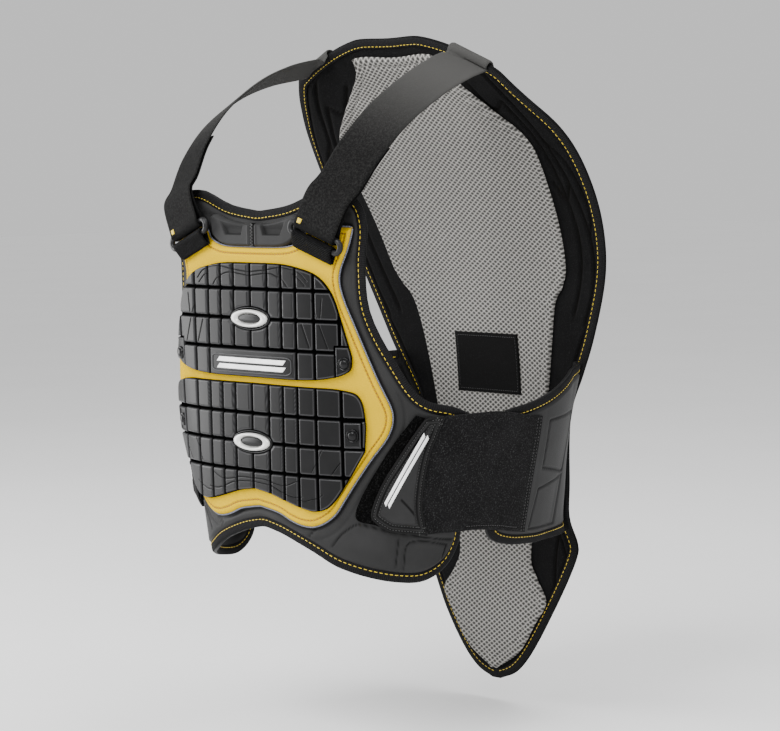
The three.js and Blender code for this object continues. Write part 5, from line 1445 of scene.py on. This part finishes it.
def make_straps():
    points, ways, returned = strap_path()
    run = along(points)
    # Painted light: lightens the webbing over the shoulder, fading out near its end on the back.
    painted_light = smoothstep(run, run[-1] * 0.42, run[-1] * 0.72) * smoothstep(-run, -run[-1] + 20.0, -run[-1] + 60.0)
    # Painted shade: the return layer under the strap, up to the fold, is painted dark.
    dark = 1 - smoothstep(np.arange(len(points)), returned - 2.0, returned + 3.0)
    for mirror, name in ((False, "left"), (True, "right")):
        strap = ribbon(f"webbing_{name}", points, ways, STRAP_WIDTH, STRAP_THICK, mirror)
        dress(strap, finish_of("heathered webbing"), "webbing", f"shoulder_strap_{name}")
        paint(strap, "painted_shade", np.repeat(0.85 * dark, 50))
        paint(strap, "painted_light", np.repeat(0.8 * painted_light, 50))
    centre, normal, width_way, up_way = ring_frame()
    start = points[returned + 3]
    ahead = unit(points[returned + 5] - points[returned + 1])
    across = unit(ways[returned + 3])
    out = unit(np.cross(across, ahead))
    out = out if np.sum(out * normal) > 0 else -out
    share = np.linspace(-1, 1, 9)
    for side_way, mirror, name in ((-1, False, "left"), (1, True, "right")):
        middle = start + across * side_way * (STRAP_WIDTH / 2 - 5.5) - ahead * 3.5
        u, v = np.meshgrid(share, share)
        bulk = STRAP_THICK / 2 + 0.55 * (1 - np.maximum(np.abs(u), np.abs(v)) ** 6)
        face = middle + across * u[..., None] * 2.3 + ahead * v[..., None] * 2.3 + out * bulk[..., None]
        foot = middle + across * u[..., None] * 2.3 + ahead * v[..., None] * 2.3 + out * (STRAP_THICK / 2 - 0.3)
        tack = slab(f"strap_tack_{name}", face, foot, np.stack([u, v], -1) * 2.3, mirror)
        dress(tack, finish_of("yellow thread"), "cover")


def make_rings():
    centre, normal, width_way, up_way = ring_frame()
    half_bar = STRAP_WIDTH / 2 + RING_SIDE_PLAY
    radius = (RING_HEIGHT - RING_WIRE) / 2
    angle = np.linspace(-math.pi / 2, math.pi / 2, 20)
    right = np.stack([half_bar + radius * np.cos(angle), radius * np.sin(angle)], -1)
    track = np.vstack([right, -right])
    path = evened(lambda u, v, out: np.stack([u, v, 0 * u], -1), track, 1.5)
    points = centre + width_way * path[:, :1] + up_way * path[:, 1:]
    tangent = unit(np.roll(points, -1, 0) - np.roll(points, 1, 0))
    across = np.cross(tangent, normal)
    around = np.linspace(0, 2 * math.pi, 14, endpoint=False)
    rings = points[:, None] + RING_WIRE / 2 * (across[:, None] * np.cos(around)[None, :, None]
                                               + normal * np.sin(around)[None, :, None])
    run = along(points)
    uv = np.stack([run[:, None] + 0 * around[None], 0 * run[:, None] + around[None]], -1)
    for mirror, name in ((False, "left"), (True, "right")):
        ring = carried(f"ring_{name}", rings, uv, True, mirror)
        dress(ring, finish_of("ring plastic"), "ring", f"strap_ring_{name}")


def make_anchors():
    centre, normal, width_way, up_way = ring_frame()
    bar = centre - up_way * (RING_HEIGHT - RING_WIRE) / 2
    radius = (RING_WIRE + ANCHOR_THICK) / 2 + GAP
    foot = bar - up_way * ANCHOR_LENGTH
    seat = RING_STANDOFF - GAP - ANCHOR_THICK / 2
    under = foot - normal * seat
    over = under + normal * (ANCHOR_THICK + GAP)
    folded = fold(bar, radius, normal, up_way, 1)
    shares = np.linspace(0, 1, 10)[:, None]
    lower = under + (folded[0] - under) * shares
    upper = folded[-1] + (over - folded[-1]) * shares
    points = np.vstack([lower[:-1], folded, upper[1:]])
    ways = np.tile(width_way, (len(points), 1))
    for mirror, name in ((False, "left"), (True, "right")):
        band = ribbon(f"ring_webbing_{name}", points, ways, STRAP_WIDTH, ANCHOR_THICK, mirror)
        dress(band, finish_of("black webbing"), "webbing", f"strap_anchor_{name}")


# The belt


def belt_outline(table, start, span, steps=10):
    return outline(table, start, span, BELT_LEVEL, BELT_HEIGHT, steps)


def make_sides():
    edge, hem = belt_outline(SIDE_OUTLINE, 0, 1, 12)
    path = np.vstack([edge[::-1], hem])
    rim = evened(side, path, 3.0, -FOAM / 2, False, 3)
    grid = grid_between(hem, edge, 201, 161, 0.9, 0.9)
    share, level = grid[..., 0], grid[..., 1]
    place = np.stack([share * 165.0, level], -1)
    rim_flat = np.stack([rim[:, 0] * 165.0, rim[:, 1]], -1)
    away = distance(place, rim_flat)
    lift = smoothstep(away, TAPE_WIDTH - 1.5, TAPE_WIDTH + 2.5)
    rib = np.array(((0.352, -288.0), (0.375, -332.0), (0.415, -373.0), (0.424, -416.0))) * [165.0, 1]
    ridge = np.exp(-(distance(place, through(rib, 8)) / 1.5) ** 2)
    lines = np.zeros_like(share)
    for box in SIDE_BOXES:
        lines = np.maximum(lines, -groove(distance(place, np.array(box) * [165.0, 1], True), 1.7, 1.3))
    middle = -FOAM / 2
    outer = middle + 1.2 + (-middle - 1.2 - lines) * lift - 0.5 + 0.5 * (1 - ridge) + 0.4 * ridge
    inner = middle - 1.2 - (-middle - 1.2) * lift
    looks = bpy.context.scene.guard_looks
    for mirror, name in ((False, "left"), (True, "right")):
        panel = slab(f"side_foam_{name}", side(share, level, outer), side(share, level, inner), place, mirror, 4)
        dress(panel, finish_of("dark foam"), "foam", f"side_panel_{name}", padded=0.8)
        # Painted shade: darkens the foam in the grooves of the two boxes, and over its inside face.
        paint(panel, "painted_shade", 0.8 * (lines / 1.3) ** 2 * lift, 0.9)
        tape = binding(f"side_binding_{name}", side, rim, middle, False, mirror)
        dress(tape, finish_of("edge tape"), "tape", f"side_tape_{name}")
        run = inset(side, rim, 6.6, middle, False)
        inside, normals = on_surface(side, run, middle - 2.75, False)
        paths = [on_surface(side, run, middle + 2.75, False), (inside, -normals)]
        thread = stitches(f"side_stitches_{name}", paths, looks.stitch_length * 1000, looks.stitch_gap * 1000, 0.7,
                          mirror=mirror)
        dress(thread, finish_of("yellow thread"), "cover")


def make_elastic():
    edge, hem = belt_outline(ELASTIC_OUTLINE, ELASTIC_START, ELASTIC_TURN)
    rim = evened(torso, loop_of(hem, edge), 2.5, 0.0, True, 0)
    grid = grid_between(hem, edge, 161, 121, 0.9, 0.9)
    turn, level = grid[..., 0], grid[..., 1]
    place = flat(grid)
    away = distance(place, flat(rim), True)
    round_edge = np.sqrt(1 - (1 - np.clip(away / 1.2, 0, 1)) ** 2)
    rear = np.linspace(0, 1, 40)[:, None] * (hem[-1] - edge[-1]) + edge[-1]
    seams = [rear - [1.0, 0.0], rear - [2.4, 0.0]]
    seams.append(hem[len(hem) // 3:-6] + [0.0, 4.0])
    furrow = np.zeros_like(away)
    for line in seams:
        furrow = np.minimum(furrow, groove(distance(place, flat(line)), 1.2, 0.3))
    ripple = 0.12 * np.sin(place[..., 1] / 3.1 + 0.6 * np.sin(place[..., 0] / 21.0)) * smoothstep(away, 3, 12)
    outer = GAP + 0.4 + (ELASTIC - 0.4) * round_edge + furrow + ripple
    for mirror, name in ((False, "left"), (True, "right")):
        band = slab(f"elastic_{name}", torso(turn, level, outer), torso(turn, level, GAP + 0 * turn), place, mirror, 4)
        dress(band, finish_of("belt elastic"), "elastic", f"belt_elastic_{name}", padded=0.2)
        # Painted shade: darkens the elastic in its stitched furrows.
        paint(band, "painted_shade", (-furrow / 0.3) ** 2 * 0.8)
        paths = [on_surface(torso, line, ELASTIC_OUTER - 0.2, False) for line in seams]
        dress(stitches(f"elastic_stitches_{name}", paths, 1.7, 1.2, 0.5, mirror=mirror), finish_of("grey thread"),
              "elastic")


def make_tabs():
    edge, hem = belt_outline(TAB_OUTLINE, TAB_START, TAB_TURN)
    rim = evened(torso, loop_of(hem, edge), 1.5, 0.0, True, 2)
    grid = grid_between(hem, edge, 201, 121, 0.9, 0.9)
    turn, level = grid[..., 0], grid[..., 1]
    place = flat(grid)
    away = distance(place, flat(rim), True)
    seat = ELASTIC_OUTER + GAP
    border = np.sqrt(1 - (1 - np.clip(away / 2.0, 0, 1)) ** 2)
    piping = np.exp(-((away - 4.6) / 0.9) ** 2)
    field = smoothstep(away, 8.2, 9.6)
    facet = drawn(place, TAB_RIDGE, width=1.6, depth=1.0, mirrored=False) * field
    lift = 0.5 + 1.4 * border + 0.9 * piping + 2.6 * field
    furrow = groove(np.abs(away - 2.6), 0.9, 0.4) + groove(np.abs(away - 6.8), 1.0, 0.4)
    lift = np.minimum(lift + furrow - facet, TAB - 0.05)
    for mirror, name in ((False, "left"), (True, "right")):
        tab = slab(f"tab_foam_{name}", torso(turn, level, seat + lift), torso(turn, level, seat + 0 * turn), place,
                   mirror, 4)
        dress(tab, finish_of("dark foam"), "foam", f"belt_tab_{name}", padded=0.8)
        # Painted shade: darkens the low border round the raised field, less on its piping, and the cut along the
        # ridge.
        paint(tab, "painted_shade", np.maximum(0.75 * (1 - smoothstep(away, 5.5, 8.6)) * (1 - 0.6 * piping), facet * 0.9))
        paths = [on_surface(torso, inset(torso, rim, d, seat), seat + h) for d, h in ((2.6, 1.55), (6.8, 1.65))]
        dress(stitches(f"tab_stitches_{name}", paths, 1.5, 1.1, 0.55, mirror=mirror), finish_of("grey thread"), "foam")
        start, end = (flat(np.array(p)) for p in (TAB_PRINT[0], TAB_PRINT[1]))
        run = (end - start) / np.linalg.norm(end - start)
        aside = np.array([-run[1], run[0]])
        u, v = np.meshgrid(np.linspace(0, np.linalg.norm(end - start), 40), np.linspace(-1.35, 1.35, 5))
        for word, shift in (("a", 1.9), ("b", -1.9)):
            at = start + (u + v * 0.8)[..., None] * run + (v + shift)[..., None] * aside
            where = np.interp(at[..., 0], ARCS, TURNS)
            stripe = slab(f"tab_stripe_{name}_{word}", torso(where, at[..., 1], seat + TAB + 0.12),
                          torso(where, at[..., 1], seat + TAB - 0.5), np.stack([u, v], -1), mirror)
            dress(stripe, finish_of("white print"), "silver")


def make_patches():
    edge, hem = belt_outline(PATCH_OUTLINE, PATCH_START, PATCH_TURN)
    grid = grid_between(hem, edge, 60, 30, 0.9, 0.9)
    turn, level = grid[..., 0], grid[..., 1]
    for mirror, name in ((False, "left"), (True, "right")):
        patch = slab(f"hook_cloth_{name}", torso(turn, level, PATCH_SEAT + PATCH + 0 * turn),
                     torso(turn, level, PATCH_SEAT + 0 * turn), flat(grid), mirror)
        dress(patch, finish_of("hook cloth"), "elastic", f"hook_patch_{name}")


# The stage


def make_stage():
    looks = bpy.context.scene.guard_looks
    low = cad_box[0].z - 0.02
    size = 12.0
    points = np.array([[-size, -size, low], [size, -size, low], [size, size, low], [-size, size, low]])
    floor = add_piece("floor", points, np.array([[0, 1, 2, 3]]), points[:, :2], False, 1.0)
    made, tree, shader = new_material("pale floor")
    tree.links.new(mix_colour(tree, ramp(tree, noise(tree, 3.0), 0.3, 0.7), (0.86, 0.86, 0.86), (0.88, 0.88, 0.88)),
                   shader.inputs["Base Color"])
    shader.inputs["Roughness"].default_value = 0.9
    shader.inputs["Emission Color"].default_value = (1, 1, 1, 1)
    shader.inputs["Emission Strength"].default_value = 0.13 * looks.sky
    floor.data.materials.append(made)
    world = bpy.data.worlds.new("studio")
    bpy.context.scene.world = world
    world.use_nodes = True
    world.node_tree.nodes["Background"].inputs["Color"].default_value = (1, 1, 1, 1)
    world.node_tree.nodes["Background"].inputs["Strength"].default_value = looks.sky
    middle = Vector((0.0, 0.0, -0.27))
    for name, azimuth, elevation, reach, width, power in (
            ("key", 5, 42, 2.2, 1.3, looks.key), ("fill", 68, 20, 2.4, 1.4, looks.fill),
            ("left", -62, 8, 2.2, 1.3, looks.left), ("top", 150, 70, 2.0, 1.2, looks.top)):
        a, e = math.radians(azimuth), math.radians(elevation)
        back_way = Vector((math.sin(a) * math.cos(e), -math.cos(a) * math.cos(e), math.sin(e)))
        lamp = bpy.data.lights.new(name, "AREA")
        lamp.size = width
        lamp.energy = power
        holder = bpy.data.objects.new(name, lamp)
        bpy.context.scene.collection.objects.link(holder)
        holder.location = middle + back_way * reach
        holder.rotation_mode = "QUATERNION"
        holder.rotation_quaternion = back_way.to_track_quat("Z", "Y")


CAMERA_AZIMUTH = 47.0
CAMERA_ELEVATION = 4.997
CAMERA_ROLL = 0.975
CAMERA_REACH = 2.348826
CAMERA_AIM = (0.0, 0.020, -0.270)
CAMERA_LENS = 120.0
CAMERA_SHIFT = (0.01510, 0.01238)


def make_camera():
    a, e, r = (math.radians(v) for v in (CAMERA_AZIMUTH, CAMERA_ELEVATION, CAMERA_ROLL))
    back_way = Vector((math.sin(a) * math.cos(e), -math.cos(a) * math.cos(e), math.sin(e)))
    right = Vector((math.cos(a), math.sin(a), 0))
    up = back_way.cross(right)
    x_way = right * math.cos(r) - up * math.sin(r)
    y_way = right * math.sin(r) + up * math.cos(r)
    data = bpy.data.cameras.new("camera")
    data.sensor_width = 36.0
    data.lens = CAMERA_LENS
    data.shift_x, data.shift_y = CAMERA_SHIFT
    camera = bpy.data.objects.new("camera", data)
    bpy.context.scene.collection.objects.link(camera)
    turn = Matrix((x_way, y_way, back_way)).transposed()
    camera.rotation_mode = "QUATERNION"
    camera.rotation_quaternion = turn.to_quaternion()
    camera.location = Vector(CAMERA_AIM) + back_way * CAMERA_REACH
    bpy.context.scene.camera = camera


# Add-on


def colour(name, description, default):
    return bpy.props.FloatVectorProperty(name=name, description=description, default=default, size=3, min=0, max=1,
                                         subtype="COLOR")


def length(name, description, default):
    return bpy.props.FloatProperty(name=name, description=description, default=default, subtype="DISTANCE",
                                   unit="LENGTH", precision=5)


def power(name, description, default):
    return bpy.props.FloatProperty(name=name, description=description, default=default, min=0, unit="POWER")


class GuardLooks(bpy.types.PropertyGroup):
    """Colours, patterns and lamps of the guard."""
    foam: colour("Foam", "Moulded foam skin", (0.025, 0.025, 0.0252))
    quilt: colour("Quilted cloth", "Cloth of the back and its border", (0.004, 0.004, 0.0042))
    cover: colour("Cover cloth", "Raised chest cover", (0.62, 0.4, 0.0))
    mesh: colour("Mesh thread", "Thread of the spacer mesh", (0.47, 0.455, 0.43))
    # Painted shade: colour of the mesh's holes, standing for the depth under its threads.
    mesh_hole_shade: colour("Mesh hole", "Depth of the spacer mesh", (0.15, 0.146, 0.138))
    tape: colour("Edge tape", "Folded tape round each panel", (0.011, 0.011, 0.0115))
    webbing_dark: colour("Webbing ground", "Dark yarn of the shoulder webbing", (0.003, 0.003, 0.003))
    webbing_light: colour("Webbing fleck", "Light yarn of the shoulder webbing", (0.03, 0.0296, 0.0285))
    elastic: colour("Elastic", "Belt elastic", (0.006, 0.006, 0.0063))
    plate: colour("Plates", "Moulded chest plates", (0.0055, 0.0055, 0.0058))
    stitch: colour("Contrast thread", "Stitches on the edge tape", (0.75, 0.53, 0.0))
    mesh_across: length("Mesh pitch across", "Hole to hole along a row", 0.0068)
    mesh_up: length("Mesh pitch up", "Two rows of holes", 0.0047)
    stitch_length: length("Stitch", "Length of a stitch", 0.003)
    stitch_gap: length("Stitch gap", "Space between stitches", 0.0016)
    sky: bpy.props.FloatProperty(name="Sky", description="Strength of the white surroundings", default=0.75, min=0)
    key: power("Key lamp", "Lamp in front", 62.0)
    fill: power("Fill lamp", "Lamp at the side", 17.0)
    left: power("Reflected lamp", "Lamp low on the far side of the chest", 42.0)
    top: power("Top lamp", "Lamp above and behind", 22.0)


class GUARD_OT_back(bpy.types.Operator):
    """Build the back shell, its edge tape, the mesh lining and the sewn label"""
    bl_idname = "guard.back"
    bl_label = "Back"

    def execute(self, context):
        make_back()
        make_lining()
        make_label()
        return {"FINISHED"}


class GUARD_OT_front(bpy.types.Operator):
    """Build the front foam, its edge tape and the two neck pads"""
    bl_idname = "guard.front"
    bl_label = "Front"

    def execute(self, context):
        make_front()
        make_neck_pads()
        return {"FINISHED"}


class GUARD_OT_cover(bpy.types.Operator):
    """Build the raised chest cover with its stitching and piping"""
    bl_idname = "guard.cover"
    bl_label = "Chest cover"

    def execute(self, context):
        make_cover()
        return {"FINISHED"}


class GUARD_OT_plates(bpy.types.Operator):
    """Build the two chest plates, their badges, the name lozenge and the studs"""
    bl_idname = "guard.plates"
    bl_label = "Plates"

    def execute(self, context):
        make_plate("blocks_upper", UPPER_PLATE_OUTLINE, UPPER_PLATE_DROP, UPPER_PLATE_HEIGHT, UPPER_ROW_GROOVES,
                   "chest_plate_upper", UPPER_CURVES, UPPER_BADGE_LEVEL, UPPER_STUD)
        make_plate("blocks_lower", LOWER_PLATE_OUTLINE, LOWER_PLATE_DROP, LOWER_PLATE_HEIGHT, LOWER_ROW_GROOVES,
                   "chest_plate_lower", LOWER_CURVES, LOWER_BADGE_LEVEL, LOWER_STUD)
        make_badges()
        make_nameplate()
        make_studs()
        return {"FINISHED"}


class GUARD_OT_straps(bpy.types.Operator):
    """Build the shoulder straps, the rings and the webbing that holds them"""
    bl_idname = "guard.straps"
    bl_label = "Straps"

    def execute(self, context):
        make_straps()
        make_rings()
        make_anchors()
        return {"FINISHED"}


class GUARD_OT_belt(bpy.types.Operator):
    """Build the side panels, the belt elastic, its tabs and the hook patches"""
    bl_idname = "guard.belt"
    bl_label = "Belt"

    def execute(self, context):
        make_sides()
        make_elastic()
        make_tabs()
        make_patches()
        return {"FINISHED"}


class GUARD_OT_stage(bpy.types.Operator):
    """Build the floor, the lamps and the camera"""
    bl_idname = "guard.stage"
    bl_label = "Stage"

    def execute(self, context):
        make_stage()
        make_camera()
        return {"FINISHED"}


STEPS = ("back", "front", "cover", "plates", "straps", "belt", "stage")


class GUARD_PT_panel(bpy.types.Panel):
    """Lists the guard's pieces and its looks"""
    bl_idname = "GUARD_PT_panel"
    bl_label = "Protector"
    bl_space_type = "VIEW_3D"
    bl_region_type = "UI"
    bl_category = "Protector"

    def draw(self, context):
        for step in STEPS:
            self.layout.operator(f"guard.{step}")
        looks = context.scene.guard_looks
        for name in looks.bl_rna.properties.keys():
            if name not in ("rna_type", "name"):
                self.layout.prop(looks, name)


CLASSES = (GuardLooks, GUARD_OT_back, GUARD_OT_front, GUARD_OT_cover, GUARD_OT_plates, GUARD_OT_straps,
           GUARD_OT_belt, GUARD_OT_stage, GUARD_PT_panel)


def register():
    for cls in CLASSES:
        bpy.utils.register_class(cls)
    bpy.types.Scene.guard_looks = bpy.props.PointerProperty(type=GuardLooks)


def unregister():
    del bpy.types.Scene.guard_looks
    for cls in reversed(CLASSES):
        bpy.utils.unregister_class(cls)


def main():
    register()
    for step in STEPS:
        getattr(bpy.ops.guard, step)()
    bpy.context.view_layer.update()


if __name__ == "__main__":
    main()
